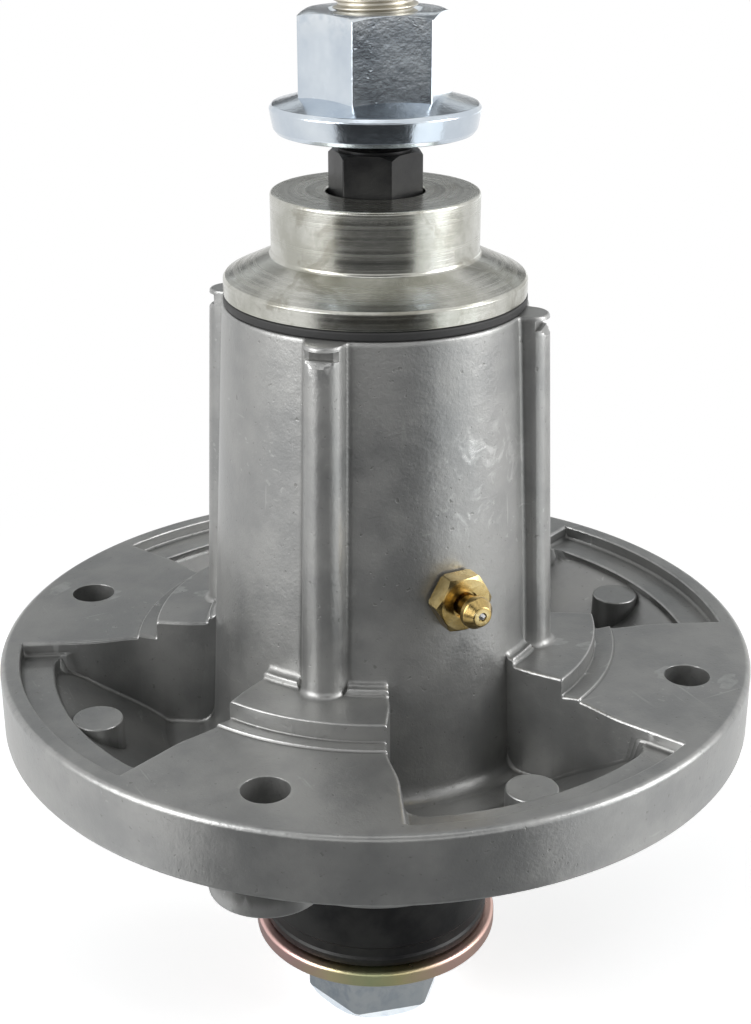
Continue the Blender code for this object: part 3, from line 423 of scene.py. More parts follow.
def section(angle):
    """Radius and height of every line of the housing's skin at one angle from a pad's middle."""
    points = []
    for turn in spread(-15.0, 90.0, 6):
        radius = tube_outline(angle, TUBE_TOP - 0.1)
        points.append((radius - TUBE_EDGE + TUBE_EDGE * math.sin(math.radians(turn)),
                       TUBE_TOP - TUBE_EDGE + TUBE_EDGE * math.cos(math.radians(turn))))
    points += [(tube_outline(angle, level), level) for level in TUBE_LEVELS]
    fillet = PAD_FILLET if abs(angle) < PAD_HALF_ANGLE else POCKET_FILLET
    base = top_height(tube_outline(angle, LAND_TOP) + fillet, angle)
    for level in spread(TUBE_LEVELS[-1], base + fillet, 5):
        points.append((tube_outline(angle, level), level))
    foot = tube_outline(angle, base + fillet)
    for turn in spread(0.0, 90.0, 6):
        points.append((foot + fillet * (1.0 - math.cos(math.radians(turn))),
                       base + fillet * (1.0 - math.sin(math.radians(turn)))))
    for i, radius in enumerate(TOP_RADII):
        radius = max(radius, foot + fillet + 0.03 * (i + 1))
        points.append((radius, top_height(radius, angle)))
    inner = FLANGE_RADIUS - FLANGE_EDGE
    for turn in [0.0] + spread(0.0, 90.0, 5):
        points.append((inner + FLANGE_EDGE * math.sin(math.radians(turn)),
                       DECK - FLANGE_EDGE + FLANGE_EDGE * math.cos(math.radians(turn))))
    return points + [tuple(point) for point in UNDERSIDE]


def housing_skin():
    """Spins a plain line of stations round the axis, then moves each ring to its section."""
    lines = housing_angles()
    stations = len(section(0.0))
    shape = bmesh.new()
    verts = [shape.verts.new((10.0, 0.0, i)) for i in range(stations)]
    edges = [shape.edges.new((verts[i - 1], verts[i])) for i in range(stations)]
    bmesh.ops.spin(shape, geom=verts + edges, cent=(0, 0, 0), axis=(0, 0, 1), angle=2 * math.pi,
                   steps=len(lines), use_merge=True)
    sections = {}
    for vertex in shape.verts:
        line = round(math.atan2(vertex.co.y, vertex.co.x) / (2 * math.pi) * len(lines)) % len(lines)
        pad, angle = lines[line]
        if angle not in sections:
            sections[angle] = section(angle)
        radius, height = sections[angle][round(vertex.co.z)]
        turn = math.radians(pad + waisted(angle, radius))
        vertex.co = (radius * math.sin(turn), -radius * math.cos(turn), height)
    bmesh.ops.recalc_face_normals(shape, faces=list(shape.faces))
    return shape


def core_recess():
    """Cutter for one recess cored out under a pad."""
    shape = bmesh.new()
    corners = [shape.verts.new(place) for place in
               ((39.5, 0.0, 40.0), (52.3, 0.0, 40.0), (51.6, 0.0, 84.0), (40.2, 0.0, 84.0))]
    face = shape.faces.new(corners)
    placed(shape, Matrix.Rotation(math.radians(-90.0 - 13.0), 4, "Z"))
    bmesh.ops.spin(shape, geom=[face] + list(face.edges) + list(face.verts), cent=(0, 0, 0),
                   axis=(0, 0, 1), angle=math.radians(26.0), steps=12)
    cleaned(shape)
    ends = [e for e in shape.edges if len(e.link_faces) == 2 and e.calc_face_angle(0.0) > 1.0]
    bmesh.ops.bevel(shape, geom=ends, offset=1.8, offset_type="OFFSET", affect="EDGES", segments=3,
                    profile=0.5, material=-1)
    return shape


def make_housing():
    shape = housing_skin()
    boss = spun(rounded([(0.0, 70.0), (10.8, 70.0, 0.8), (11.3, 82.0), (0.0, 82.0)]), steps=64)
    shape = combined(shape, around(boss, BOLT_CIRCLE, PAD_ANGLES), "UNION")
    island = spun(rounded([(0.0, 76.5), (5.15, 76.5), (5.0, 85.5, 0.4), (0.0, 85.5)]), steps=48)
    shape = combined(shape, around(island, ISLAND_CIRCLE, POCKET_ANGLES), "UNION")
    shape = combined(shape, around(core_recess(), 0.0, PAD_ANGLES), "DIFFERENCE")
    hole = spun([(0.0, 68.0), (5.2, 68.0), (5.2, 69.9), (BOLT_HOLE_RADIUS, 70.5),
                 (BOLT_HOLE_RADIUS, 89.8), (4.6, 90.05), (4.7, 90.3), (4.7, 93.0), (0.0, 93.0)], steps=64)
    shape = combined(shape, around(hole, BOLT_CIRCLE, PAD_ANGLES), "DIFFERENCE")
    fitting_hole = placed(spun([(0.0, 16.0), (3.4, 16.0), (3.4, 40.0), (0.0, 40.0)], steps=32),
                          LAID_AT_FITTING)
    shape = combined(shape, fitting_hole, "DIFFERENCE")
    finished("cast_housing", shape, materials["cast_aluminium"], "spindle_housing",
             ["housing"])


# Pieces on the shaft


def make_shaft():
    """Blade seat, journal, hexagonal drive and nut thread."""
    body = spun(rounded([
        (0.0, 192.6),
        (7.0, 192.6),
        (7.0, 180.0),
        (12.5, 180.0, 0.8),
        (12.5, 42.4),
        (16.0, 42.4, 0.3),
        (16.0, 40.1),
        (24.9, 40.1, 0.8),
        (24.9, 27.5, 0.2),
        (24.5, 27.0),
        (24.5, 24.9),
        (24.9, 24.4, 0.2),
        (24.9, 22.6, 0.5),
        (8.2, 22.6),
        (8.2, 58.6),
        (0.0, 62.7),
    ]))
    drive = combined(hexagon(16.0, 179.0, 191.8, -8.6, edge=0.25),
                     spun([(0.0, 178.0), (10.0, 178.0), (10.0, 190.2), (8.3, 191.8), (0.0, 191.8)]),
                     "INTERSECT")
    body = combined(body, drive, "UNION")
    body = combined(body, threaded_rod(THREAD_RADIUS, THREAD_PITCH, 192.2, THREAD_TOP), "UNION")
    finished("black_shaft", body, materials["black_oxide"], "rotor", ["spindle_shaft"])


def make_nut():
    """Hexagon nut over a thick round flange."""
    flange = spun(rounded([
        (0.0, 206.0),
        (12.4, 206.0),
        (12.4, 202.4),
        (15.4, 201.6, 0.8),
        (19.4, 200.5, 0.5),
        (20.0, 199.7, 0.4),
        (19.7, 198.0, 1.5),
        (19.3, 196.0, 0.7),
        (18.6, 195.1, 0.4),
        (0.0, 195.1),
    ]))
    head = combined(hexagon(NUT_FLATS, 198.0, 217.4, NUT_TURN),
                    spun([(0.0, 197.0), (16.0, 197.0), (16.0, 215.9), (12.6, 217.4), (0.0, 217.4)]),
                    "INTERSECT")
    shape = combined(flange, head, "UNION")
    bore = spun([(0.0, 218.5), (10.1, 218.5), (8.3, 216.6), (8.3, 196.0), (9.3, 195.0), (9.3, 194.0),
                 (0.0, 194.0)])
    shape = combined(shape, bore, "DIFFERENCE")
    finished("flange_nut", shape, materials["bright_zinc"], "rotor", ["pulley_nut"])


def make_bolt():
    """Blade bolt: hexagon head below, threaded shank up into the shaft."""
    head = combined(hexagon(BOLT_FLATS, 0.0, 13.9, NUT_TURN),
                    spun([(0.0, 0.0), (12.9, 0.0), (14.4, 0.8), (15.7, 2.6), (15.7, 16.0), (0.0, 16.0)]),
                    "INTERSECT")
    shank = threaded_rod(THREAD_RADIUS, 2.0, 12.0, 52.6)
    finished("blade_bolt_zinc", combined(head, shank, "UNION"), materials["bright_zinc"], "rotor",
             ["blade_bolt"])


def make_washer():
    """Dished washer with a punched edge."""
    shape = spun(rounded([
        (22.6, 22.3, 0.9),
        (26.8, 22.3, 0.9),
        (26.8, 18.8, 0.5),
        (22.8, 18.8, 1.4),
        (14.6, 14.2, 1.4),
        (8.2, 14.2, 0.3),
        (8.2, 17.7, 0.5),
        (14.4, 17.7, 1.4),
    ], closed=True), closed=True)
    finished("dished_washer", shape, materials["yellow_zinc"], "rotor", ["cup_washer"])


def make_collar():
    """Turned collar with a thin rim, a cone and a straight boss."""
    shape = spun(rounded([
        (9.85, 184.1),
        (20.2, 184.1, 0.7),
        (20.2, 172.2, 0.9),
        (22.0, 171.4, 0.8),
        (29.2, 168.1, 0.3),
        (29.6, 167.6, 0.2),
        (29.6, 164.4, 0.3),
        (16.0, 164.4),
        (16.0, 162.2),
        (12.8, 162.2),
        (12.8, 180.1),
        (9.6, 180.1),
        (9.6, 183.85),
    ], closed=True), closed=True)
    finished("turned_collar", shape, materials["turned_steel"], "rotor", ["pulley_collar"])


def make_dust_seals():
    """Rubber rings that shield the bearings, each with a fine lip."""
    upper = spun(rounded([
        (16.3, 164.38),
        (29.7, 164.38, 0.4),
        (29.7, 162.65, 0.4),
        (23.0, 162.65),
        (22.6, 163.3),
        (16.3, 163.3),
    ], closed=True), closed=True)
    finished("upper_seal_ring", upper, materials["black_rubber"], "rotor",
             ["upper_dust_seal"])
    lower = spun(rounded([
        (16.3, 41.2),
        (20.5, 41.2),
        (20.9, 41.6),
        (25.1, 41.6, 0.2),
        (25.5, 41.2, 0.2),
        (25.5, 40.4, 0.2),
        (16.3, 40.4),
    ], closed=True), closed=True)
    finished("lower_seal_ring", lower, materials["black_rubber"], "rotor",
             ["lower_dust_seal"])


def make_grease_fitting():
    """Grease fitting built along Z from its thread to its tip, then laid along -Y."""
    seat = 32.86
    body = spun(rounded([
        (0.9, 43.0),
        (1.9, 43.0, 0.4),
        (3.2, 41.2, 0.8),
        (3.2, 40.0, 0.5),
        (2.3, 38.9, 0.3),
        (2.3, 36.0),
        (2.9, 36.0),
        (2.9, 26.86, 0.4),
        (0.9, 26.86),
        (0.9, 27.46),
        (1.6, 27.46),
        (1.6, 42.4),
        (0.9, 42.4),
    ], closed=True), closed=True, steps=48)
    head = combined(hexagon(10.6, seat, seat + 4.0, 30.0, edge=0.2),
                    spun([(0.0, 32.0), (5.3, 32.0), (6.3, 33.6), (6.3, 36.0), (5.1, 36.9), (0.0, 36.9)],
                         steps=48), "INTERSECT")
    core = spun([(0.0, 30.0), (2.8, 30.0), (2.8, 39.0), (0.0, 39.0)], steps=32)
    body = combined(body, combined(head, core, "DIFFERENCE"), "UNION")
    placed(body, LAID_AT_FITTING)
    finished("brass_fitting", body, materials["yellow_brass"], "spindle_housing",
             ["grease_fitting"])


# Finishes


def add(tree, kind, inputs=None, **settings):
    """Adds a shader node, sets it up and wires or fills its inputs."""
    made = tree.nodes.new("ShaderNode" + kind)
    for name, value in settings.items():
        setattr(made, name, value)
    for name, value in (inputs or {}).items():
        if isinstance(value, bpy.types.NodeSocket):
            tree.links.new(value, made.inputs[name])
        else:
            made.inputs[name].default_value = value
    return made


def noise(tree, coordinates, scale, detail=2.0, roughness=0.5, distortion=0.0):
    return add(tree, "TexNoise", {"Vector": coordinates, "Scale": scale, "Detail": detail,
                                  "Roughness": roughness, "Distortion": distortion}).outputs["Fac"]


def calculate(tree, operation, first, second=0.0, clamp=False):
    return add(tree, "Math", {0: first, 1: second}, operation=operation, use_clamp=clamp).outputs[0]


def stretched(tree, value, low, high, bottom=0.0, top=1.0):
    """The value mapped from one range to another, with soft ends."""
    return add(tree, "MapRange", {"Value": value, "From Min": low, "From Max": high, "To Min": bottom,
                                  "To Max": top}, interpolation_type="SMOOTHSTEP").outputs["Result"]


def blended(tree, factor, first, second, blend="MIX"):
    """Mixes two colours."""
    return add(tree, "Mix", {0: factor, 6: first, 7: second}, data_type="RGBA", blend_type=blend).outputs[2]


def new_group(name, inputs, outputs):
    """Shader group with named sockets. Returns its tree and its input and output nodes."""
    tree = bpy.data.node_groups.new(name, "ShaderNodeTree")
    for label, kind, value in inputs:
        socket = tree.interface.new_socket(name=label, in_out="INPUT", socket_type="NodeSocket" + kind)
        if value is not None:
            socket.default_value = value
    for label, kind in outputs:
        tree.interface.new_socket(name=label, in_out="OUTPUT", socket_type="NodeSocket" + kind)
    return tree, tree.nodes.new("NodeGroupInput").outputs, tree.nodes.new("NodeGroupOutput").inputs


def place_group(tree, group, inputs):
    made = tree.nodes.new("ShaderNodeGroup")
    made.node_tree = groups[group]
    for name, value in inputs.items():
        if isinstance(value, bpy.types.NodeSocket):
            tree.links.new(value, made.inputs[name])
        else:
            made.inputs[name].default_value = value
    return made.outputs


def make_metal_grain():
    """Grain of several sizes for cast, plated and oxidised skins."""
    tree, given, out = new_group(
        "metal_grain", [("Coordinates", "Vector", None), ("Grain Size", "Float", 0.0005)],
        [("Height", "Float"), ("Mottle", "Float"), ("Pits", "Float")])
    scale = calculate(tree, "DIVIDE", 1.0, given["Grain Size"])
    fine = noise(tree, given["Coordinates"], scale, 3.0, 0.6)
    coarse_scale = calculate(tree, "MULTIPLY", scale, 0.22)
    coarse = noise(tree, given["Coordinates"], coarse_scale, 3.0, 0.55)
    mottle_scale = calculate(tree, "MULTIPLY", scale, 0.035)
    mottle = noise(tree, given["Coordinates"], mottle_scale, 4.0, 0.6)
    pits = stretched(tree, noise(tree, given["Coordinates"], calculate(tree, "MULTIPLY", scale, 0.5)),
                     0.66, 0.76)
    height = calculate(tree, "ADD", calculate(tree, "MULTIPLY", fine, 0.45),
                       calculate(tree, "MULTIPLY", coarse, 0.8))
    height = calculate(tree, "SUBTRACT", height, calculate(tree, "MULTIPLY", pits, 0.35))
    tree.links.new(height, out["Height"])
    tree.links.new(mottle, out["Mottle"])
    tree.links.new(pits, out["Pits"])
    return tree


def make_edge_wear_and_highlight():
    """Masks of edges that are brightened, partly as wear and partly as painted highlight, and of hollows
    that are darkened as painted shade.
    """
    tree, given, out = new_group(
        "edge_wear_and_highlight", [("Coordinates", "Vector", None), ("Start", "Float", 0.52), ("End", "Float", 0.58)],
        [("Mask", "Float"), ("Hollow", "Float")])
    point = add(tree, "NewGeometry").outputs["Pointiness"]
    # Mask: edges to be brightened, partly as wear and partly as painted highlight
    edge = add(tree, "MapRange", {"Value": point, "From Min": given["Start"], "From Max": given["End"]},
               interpolation_type="SMOOTHSTEP").outputs["Result"]
    broken = stretched(tree, noise(tree, given["Coordinates"], 420.0, 3.0, 0.6), 0.3, 0.6)
    tree.links.new(calculate(tree, "MULTIPLY", edge, broken), out["Mask"])
    # Hollow: concave places to be darkened as painted shade
    tree.links.new(stretched(tree, point, HOLLOW_START, HOLLOW_END), out["Hollow"])
    return tree


def make_lathe_rings():
    """Fine rings that a turning tool leaves, as a function of radius and height alone."""
    tree, given, out = new_group(
        "lathe_rings", [("Coordinates", "Vector", None), ("Ring Spacing", "Float", 0.0003)],
        [("Height", "Float"), ("Streak", "Float")])
    split = add(tree, "SeparateXYZ", {"Vector": given["Coordinates"]}).outputs
    flat = add(tree, "CombineXYZ", {"X": split["X"], "Y": split["Y"]}).outputs["Vector"]
    radius = add(tree, "VectorMath", {0: flat}, operation="LENGTH").outputs["Value"]
    rings = add(tree, "CombineXYZ", {"X": radius, "Y": split["Z"]}).outputs["Vector"]
    scale = calculate(tree, "DIVIDE", 1.0, given["Ring Spacing"])
    fine = noise(tree, rings, scale, 2.0, 0.7)
    broad = noise(tree, rings, calculate(tree, "MULTIPLY", scale, 0.2), 2.0, 0.6)
    tree.links.new(calculate(tree, "ADD", calculate(tree, "MULTIPLY", fine, 0.6),
                             calculate(tree, "MULTIPLY", broad, 0.6)), out["Height"])
    tree.links.new(broad, out["Streak"])
    return tree


def make_scratches():
    """Short fine scratches and rubbed spots in a few directions."""
    tree, given, out = new_group(
        "scratches", [("Coordinates", "Vector", None), ("Amount", "Float", 0.5)], [("Mask", "Float")])
    total = None
    for turn, stretch, scale in (((0.3, 0.2, 0.5), (1.0, 1.0, 0.06), 900.0),
                                 ((1.1, 0.7, 2.0), (1.0, 0.05, 1.0), 1100.0),
                                 ((0.6, 2.2, 0.9), (0.07, 1.0, 1.0), 800.0)):
        spot = add(tree, "Mapping", {"Vector": given["Coordinates"], "Rotation": turn, "Scale": stretch})
        line = noise(tree, spot.outputs["Vector"], scale, 1.0, 0.4)
        line = stretched(tree, line, 0.69, 0.75)
        total = line if total is None else calculate(tree, "MAXIMUM", total, line)
    where = stretched(tree, noise(tree, given["Coordinates"], 45.0, 3.0, 0.6), 0.52, 0.66)
    mask = calculate(tree, "MULTIPLY", calculate(tree, "MULTIPLY", total, where), given["Amount"])
    tree.links.new(mask, out["Mask"])
    return tree


def new_material(name):
    material = bpy.data.materials.new(name)
    material.use_nodes = True
    tree = material.node_tree
    shader = tree.nodes["Principled BSDF"]
    coordinates = add(tree, "TexCoord").outputs["Object"]
    return material, tree, shader, coordinates


def wire(tree, shader, colour=None, roughness=None, metallic=None, height=None, depth=0.0):
    """Feeds the shader's changing inputs. Depth is the bump's height in metres."""
    for name, value in (("Base Color", colour), ("Roughness", roughness), ("Metallic", metallic)):
        if isinstance(value, bpy.types.NodeSocket):
            tree.links.new(value, shader.inputs[name])
        elif value is not None:
            shader.inputs[name].default_value = value
    if height is not None:
        bump = add(tree, "Bump", {"Height": height, "Distance": depth, "Strength": 1.0})
        tree.links.new(bump.outputs["Normal"], shader.inputs["Normal"])


def cast_aluminium():
    material, tree, shader, place = new_material("cast_housing_aluminium")
    grain = place_group(tree, "metal_grain", {"Coordinates": place, "Grain Size": 0.0006})
    edge_and_hollow_masks = place_group(tree, "edge_wear_and_highlight", {"Coordinates": place, "Start": 0.505, "End": 0.55})
    scratched = place_group(tree, "scratches", {"Coordinates": place, "Amount": 0.3})["Mask"]
    # Edges are brightened partly as wear and partly as a painted highlight, together with scratches and a
    # rubbed spot
    bright = calculate(tree, "MAXIMUM", calculate(tree, "MULTIPLY", edge_and_hollow_masks["Mask"], 0.35), scratched)
    off = add(tree, "VectorMath", {0: place, 1: RUBBED_SPOT}, operation="DISTANCE").outputs["Value"]
    patches = stretched(tree, noise(tree, place, 210.0, 4.0, 0.6, 1.5), 0.50, 0.70, 0.0, 0.6)
    rubbed = calculate(tree, "MULTIPLY", stretched(tree, off, RUBBED_REACH, RUBBED_REACH / 3), patches)
    bright = calculate(tree, "MAXIMUM", bright, rubbed)
    base = blended(tree, stretched(tree, grain["Mottle"], 0.35, 0.65), (0.262, 0.265, 0.262, 1.0),
                   (0.330, 0.330, 0.322, 1.0))
    base = blended(tree, calculate(tree, "MULTIPLY", grain["Pits"], 0.5), base, (0.16, 0.16, 0.15, 1.0))
    # Painted shade: hollows such as the feet of walls are darkened in the base colour
    painted_hollow_shade = calculate(tree, "MULTIPLY", edge_and_hollow_masks["Hollow"], 0.6)
    base = blended(tree, painted_hollow_shade, base, (0.09, 0.09, 0.085, 1.0))
    base = blended(tree, bright, base, (0.58, 0.58, 0.57, 1.0))
    rough = stretched(tree, grain["Mottle"], 0.3, 0.7, 0.31, 0.41)
    rough = calculate(tree, "SUBTRACT", rough, calculate(tree, "MULTIPLY", bright, 0.16))
    metal = calculate(tree, "ADD", calculate(tree, "MULTIPLY", bright, 0.3), 0.7)
    wire(tree, shader, base, rough, metal, grain["Height"], 0.0001)
    return material


def turned_steel():
    material, tree, shader, place = new_material("collar_turned_steel")
    rings = place_group(tree, "lathe_rings", {"Coordinates": place, "Ring Spacing": 0.00022})
    grain = place_group(tree, "metal_grain", {"Coordinates": place, "Grain Size": 0.0003})
    base = blended(tree, stretched(tree, grain["Mottle"], 0.35, 0.65), (0.41, 0.41, 0.365, 1.0),
                   (0.55, 0.55, 0.51, 1.0))
    base = blended(tree, calculate(tree, "MULTIPLY", rings["Streak"], 0.2), base, (0.30, 0.29, 0.25, 1.0))
    stained = stretched(tree, noise(tree, place, 95.0, 5.0, 0.62, 0.8), 0.50, 0.64, 0.0, 0.45)
    base = blended(tree, stained, base, (0.20, 0.185, 0.14, 1.0))
    rough = stretched(tree, rings["Streak"], 0.3, 0.7, 0.20, 0.30)
    wire(tree, shader, base, rough, 1.0, rings["Height"], 0.00002)
    return material


def bright_zinc():
    material, tree, shader, place = new_material("nut_bright_zinc")
    grain = place_group(tree, "metal_grain", {"Coordinates": place, "Grain Size": 0.0008})
    worn_and_highlight = place_group(tree, "edge_wear_and_highlight", {"Coordinates": place, "Start": 0.51, "End": 0.58})["Mask"]
    base = blended(tree, stretched(tree, grain["Mottle"], 0.3, 0.7), (0.52, 0.58, 0.65, 1.0),
                   (0.70, 0.75, 0.79, 1.0))
    # Edges are lightened partly as wear and partly as a painted highlight
    base = blended(tree, calculate(tree, "MULTIPLY", worn_and_highlight, 0.6), base, (0.86, 0.88, 0.88, 1.0))
    rough = stretched(tree, grain["Mottle"], 0.3, 0.7, 0.15, 0.26)
    wire(tree, shader, base, rough, 1.0, grain["Height"], 0.00005)
    return material


def yellow_zinc():
    material, tree, shader, place = new_material("washer_yellow_zinc")
    grain = place_group(tree, "metal_grain", {"Coordinates": place, "Grain Size": 0.0007})
    across = add(tree, "VectorMath", {0: place, 1: TINT_DIRECTION}, operation="DOT_PRODUCT")
    hue = stretched(tree, across.outputs["Value"], -0.030, 0.030, -0.18, 0.82)
    cloud = calculate(tree, "MULTIPLY", noise(tree, place, 70.0, 3.0, 0.6, 0.6), 0.36)
    hue = calculate(tree, "ADD", hue, cloud)
    ramp = add(tree, "ValToRGB", {"Fac": hue})
    stops = ramp.color_ramp.elements
    stops[0].position = 0.12
    stops[0].color = (0.68, 0.45, 0.42, 1.0)
    stops[1].position = 0.92
    stops[1].color = (0.68, 0.46, 0.40, 1.0)
    for position, colour in ((0.28, (0.70, 0.60, 0.36, 1.0)), (0.50, (0.50, 0.53, 0.30, 1.0)),
                             (0.66, (0.66, 0.60, 0.32, 1.0)), (0.80, (0.72, 0.56, 0.38, 1.0))):
        stops.new(position).color = colour
    rough = stretched(tree, grain["Mottle"], 0.3, 0.7, 0.26, 0.40)
    wire(tree, shader, ramp.outputs["Color"], rough, 1.0, grain["Height"], 0.00004)
    return material


def yellow_brass():
    material, tree, shader, place = new_material("fitting_brass")
    grain = place_group(tree, "metal_grain", {"Coordinates": place, "Grain Size": 0.0004})
    worn_and_highlight = place_group(tree, "edge_wear_and_highlight", {"Coordinates": place, "Start": 0.51, "End": 0.60})["Mask"]
    base = blended(tree, stretched(tree, grain["Mottle"], 0.3, 0.7), (0.28, 0.19, 0.06, 1.0),
                   (0.54, 0.40, 0.17, 1.0))
    # Edges are lightened partly as wear and partly as a painted highlight
    base = blended(tree, calculate(tree, "MULTIPLY", worn_and_highlight, 0.6), base, (0.88, 0.76, 0.44, 1.0))
    wire(tree, shader, base, stretched(tree, grain["Mottle"], 0.3, 0.7, 0.18, 0.30), 1.0,
         grain["Height"], 0.00003)
    return material


def black_oxide():
    material, tree, shader, place = new_material("shaft_black_oxide")
    grain = place_group(tree, "metal_grain", {"Coordinates": place, "Grain Size": 0.0004})
    rings = place_group(tree, "lathe_rings", {"Coordinates": place, "Ring Spacing": 0.0003})
    worn_and_highlight = place_group(tree, "edge_wear_and_highlight", {"Coordinates": place, "Start": 0.52, "End": 0.62})["Mask"]
    base = blended(tree, stretched(tree, grain["Mottle"], 0.3, 0.7), (0.010, 0.010, 0.011, 1.0),
                   (0.030, 0.030, 0.029, 1.0))
    # Edges are lightened partly as wear and partly as a painted highlight
    base = blended(tree, calculate(tree, "MULTIPLY", worn_and_highlight, 0.2), base, (0.22, 0.21, 0.20, 1.0))
    rough = stretched(tree, grain["Mottle"], 0.3, 0.7, 0.34, 0.48)
    height = calculate(tree, "ADD", grain["Height"], calculate(tree, "MULTIPLY", rings["Height"], 0.5))
    split = add(tree, "SeparateXYZ", {"Vector": place}).outputs
    bare = stretched(tree, split["Z"], BARE_END_HEIGHT, BARE_END_HEIGHT + 0.0008)
    base = blended(tree, bare, base, (0.60, 0.57, 0.50, 1.0))
    metal = calculate(tree, "ADD", calculate(tree, "MULTIPLY", bare, 0.4), 0.6)
    wire(tree, shader, base, rough, metal, height, 0.00004)
    return material


def black_rubber():
    material, tree, shader, place = new_material("seal_rubber")
    grain = place_group(tree, "metal_grain", {"Coordinates": place, "Grain Size": 0.0003})
    base = blended(tree, grain["Mottle"], (0.010, 0.010, 0.010, 1.0), (0.026, 0.026, 0.026, 1.0))
    wire(tree, shader, base, stretched(tree, grain["Mottle"], 0.3, 0.7, 0.5, 0.65), 0.0, grain["Height"],
         0.00004)
    return material


def bearing_steel():
    material, tree, shader, place = new_material("bearing_ground_steel")
    rings = place_group(tree, "lathe_rings", {"Coordinates": place, "Ring Spacing": 0.00008})
    base = blended(tree, rings["Streak"], (0.52, 0.52, 0.52, 1.0), (0.66, 0.66, 0.66, 1.0))
    wire(tree, shader, base, stretched(tree, rings["Streak"], 0.3, 0.7, 0.12, 0.22), 1.0,
         rings["Height"], 0.000004)
    return material


def cage_nylon():
    material, tree, shader, place = new_material("cage_natural_nylon")
    grain = place_group(tree, "metal_grain", {"Coordinates": place, "Grain Size": 0.0004})
    base = blended(tree, grain["Mottle"], (0.62, 0.56, 0.42, 1.0), (0.76, 0.71, 0.56, 1.0))
    wire(tree, shader, base, stretched(tree, grain["Mottle"], 0.3, 0.7, 0.42, 0.56), 0.0,
         grain["Height"], 0.00003)
    return material


# Studio


def make_world():
    """White for the camera and for reflections, mid grey as light on matt surfaces."""
    world = bpy.data.worlds.new("studio")
    scene.world = world
    world.use_nodes = True
    tree = world.node_tree
    tree.nodes.clear()
    rays = add(tree, "LightPath").outputs
    seen = calculate(tree, "MAXIMUM", rays["Is Camera Ray"], rays["Is Glossy Ray"])
    seen = calculate(tree, "MAXIMUM", seen, rays["Is Transmission Ray"])
    lit = add(tree, "Background", {"Color": (0.62, 0.64, 0.66, 1.0), "Strength": 0.16}).outputs[0]
    white = add(tree, "Background", {"Color": (1.0, 1.0, 1.0, 1.0), "Strength": 1.0}).outputs[0]
    mix = add(tree, "MixShader", {0: seen, 1: lit, 2: white})
    surface = tree.nodes.new("ShaderNodeOutputWorld")
    tree.links.new(mix.outputs[0], surface.inputs["Surface"])


def add_lamp(name, place, size, power):
    """Large soft area lamp aimed at the spindle."""
    lamp = bpy.data.lights.new(name, "AREA")
    lamp.shape = "RECTANGLE"
    lamp.size, lamp.size_y = size
    lamp.energy = power
    item = bpy.data.objects.new(name, lamp)
    item.location = place
    item.rotation_euler = (Vector(LIGHT_TARGET) - Vector(place)).to_track_quat("-Z", "Y").to_euler()
    scene.collection.objects.link(item)


def beside(angle, distance, height):
    """A place round the spindle, at an angle from the camera's side."""
    turn = math.radians(angle + CAMERA_TURN)
    return (distance * math.sin(turn), -distance * math.cos(turn), height)


def hang_card(name, shape, shade):
    """Makes a shape a plain studio card that only reflections see."""
    material = bpy.data.materials.new(name)
    material.use_nodes = True
    tree = material.node_tree
    tree.nodes.clear()
    glow = add(tree, "Emission", {"Color": (0.96, 0.99, 1.0, 1.0), "Strength": shade}).outputs[0]
    surface = tree.nodes.new("ShaderNodeOutputMaterial")
    tree.links.new(glow, surface.inputs["Surface"])
    mesh = bpy.data.meshes.new(name)
    shape.to_mesh(mesh)
    shape.free()
    mesh.materials.append(material)
    item = bpy.data.objects.new(name, mesh)
    scene.collection.objects.link(item)
    item.visible_camera = False
    item.visible_diffuse = False
    item.visible_shadow = False


def make_card(name, place, width, height, shade):
    """Upright card that faces the spindle."""
    shape = bmesh.new()
    bmesh.ops.create_grid(shape, x_segments=1, y_segments=1, size=0.5)
    bmesh.ops.scale(shape, verts=list(shape.verts), vec=(width, height, 1.0))
    facing = (Vector(LIGHT_TARGET) - Vector(place)).to_track_quat("Z", "Y").to_matrix().to_4x4()
    hang_card(name, placed(shape, Matrix.Translation(place) @ facing), shade)


def make_fan(name, start, end, inner, outer, height, shade):
    """Flat card above the floor, a part of a ring round the spindle."""
    shape = bmesh.new()
    ends = [shape.verts.new(beside(start, distance, height)) for distance in (inner, outer)]
    edge = shape.edges.new(ends)
    bmesh.ops.spin(shape, geom=ends + [edge], cent=(0, 0, 0), axis=(0, 0, 1),
                   angle=math.radians(end - start), steps=24)
    hang_card(name, shape, shade)


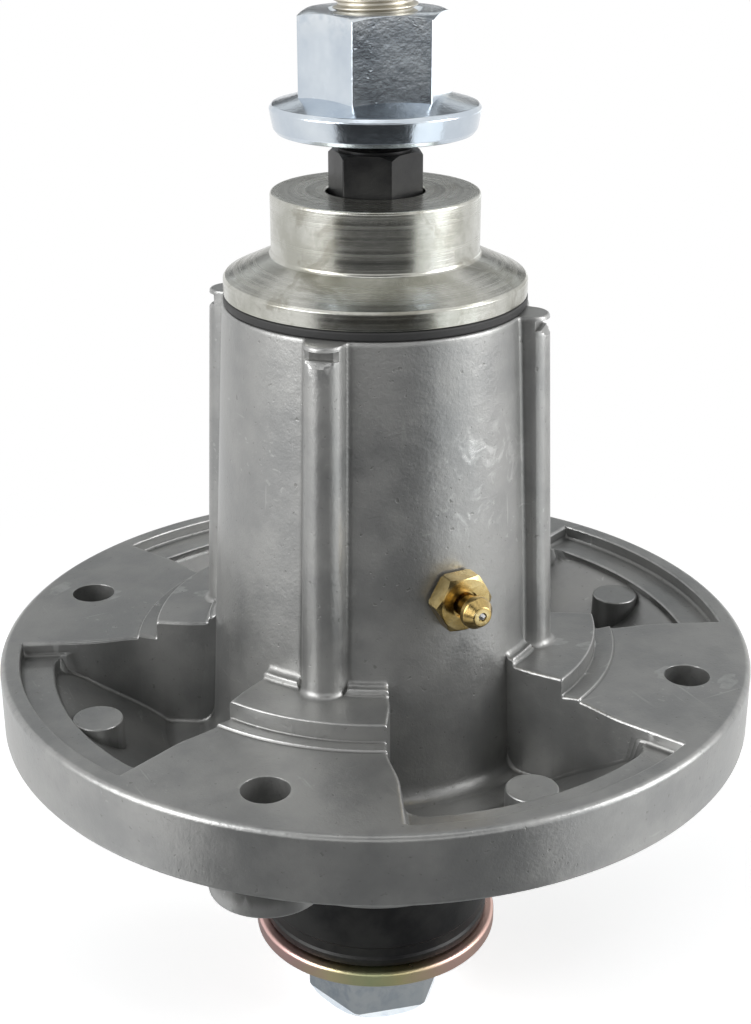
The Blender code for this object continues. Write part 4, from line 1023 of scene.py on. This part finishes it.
def make_floor():
    """White floor that keeps the object's soft shadow near it and is plain white farther out."""
    material = bpy.data.materials.new("studio_floor")
    material.use_nodes = True
    tree = material.node_tree
    shader = tree.nodes["Principled BSDF"]
    shader.inputs["Base Color"].default_value = (0.85, 0.85, 0.85, 1.0)
    shader.inputs["Roughness"].default_value = 1.0
    shader.inputs["Specular IOR Level"].default_value = 0.0
    surface = tree.nodes["Material Output"]
    rays = add(tree, "LightPath").outputs
    seen = calculate(tree, "MAXIMUM", rays["Is Camera Ray"], rays["Is Glossy Ray"])
    seen = calculate(tree, "MAXIMUM", seen, rays["Is Transmission Ray"])
    place = add(tree, "TexCoord").outputs["Object"]
    distance = add(tree, "VectorMath", {0: place}, operation="LENGTH").outputs["Value"]
    far = calculate(tree, "MULTIPLY", stretched(tree, distance, 0.12, 0.32), seen)
    fill = calculate(tree, "MULTIPLY", seen, FLOOR_FILL)
    lift = add(tree, "Emission", {"Strength": fill}).outputs[0]
    near = add(tree, "AddShader", {0: shader.outputs[0], 1: lift}).outputs[0]
    white = add(tree, "Emission", {"Strength": 1.0}).outputs[0]
    mix = add(tree, "MixShader", {0: far, 1: near, 2: white})
    tree.links.new(mix.outputs[0], surface.inputs["Surface"])
    shape = bmesh.new()
    bmesh.ops.create_circle(shape, cap_ends=True, segments=96, radius=3.0)
    mesh = bpy.data.meshes.new("studio_floor")
    shape.to_mesh(mesh)
    shape.free()
    mesh.materials.append(material)
    floor = bpy.data.objects.new("studio_floor", mesh)
    scene.collection.objects.link(floor)


make_camera()
groups = {
    "metal_grain": make_metal_grain(),
    "edge_wear_and_highlight": make_edge_wear_and_highlight(),
    "lathe_rings": make_lathe_rings(),
    "scratches": make_scratches(),
}
materials = {finish.__name__: finish() for finish in (
    cast_aluminium, turned_steel, bright_zinc, yellow_zinc, yellow_brass, black_oxide, black_rubber,
    bearing_steel, cage_nylon)}

make_housing()
make_shaft()
make_nut()
make_bolt()
make_washer()
make_collar()
make_dust_seals()
make_grease_fitting()

CARRIED = {
    "bearing_spacer": "turned_steel",
    "grease_check_ball": "bearing_steel",
    "grease_check_spring": "bearing_steel",
}
for name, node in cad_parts.items():
    finish = CARRIED.get(name)
    if "_bearing_" in name:
        finish = "bearing_steel"
        if name.endswith("_seal"):
            finish = "black_rubber"
        elif name.endswith("_cage"):
            finish = "cage_nylon"
    if finish:
        for slot in node.material_slots:
            slot.material = materials[finish]

make_world()
make_floor()
make_fan("grey_under", 0.0, 360.0, 0.001, 0.09, 0.002, 0.33)
make_fan("grey_near", -44.0, 43.0, 0.09, 0.30, 0.003, 0.14)
make_fan("dark_table", -44.0, 43.0, 0.30, 1.3, 0.003, 0.04)
make_fan("grey_far", -44.0, 43.0, 1.3, 2.9, 0.003, 0.07)
make_fan("bright_right", 43.0, 80.0, 0.25, 1.3, 0.003, 1.5)
make_fan("bright_back_right", 130.0, 165.0, 1.0, 2.6, 0.003, 1.9)
make_card("dark_room", beside(0.0, 0.60, 0.64), 0.75, 0.50, 0.05)
make_card("dark_back", beside(180.0, 0.93, 0.36), 0.8, 0.17, 0.12)
make_card("pale_back", beside(180.0, 0.94, 0.53), 1.4, 0.20, 0.9)
make_card("grey_back", beside(180.0, 0.95, 0.78), 1.0, 0.34, 0.2)
make_card("grey_ceiling", beside(180.0, 0.1, 0.95), 0.6, 0.6, 0.12)
add_lamp("left_window", beside(-60.0, 0.90, 0.48), (0.6, 0.8), 8.2)
add_lamp("right_window", beside(80.0, 0.90, 0.42), (0.5, 0.8), 7.0)
add_lamp("top_sky", (0.0, 0.05, 1.1), (0.9, 0.9), 1.8)

bpy.context.view_layer.update()

scene.view_settings.view_transform = "Standard"
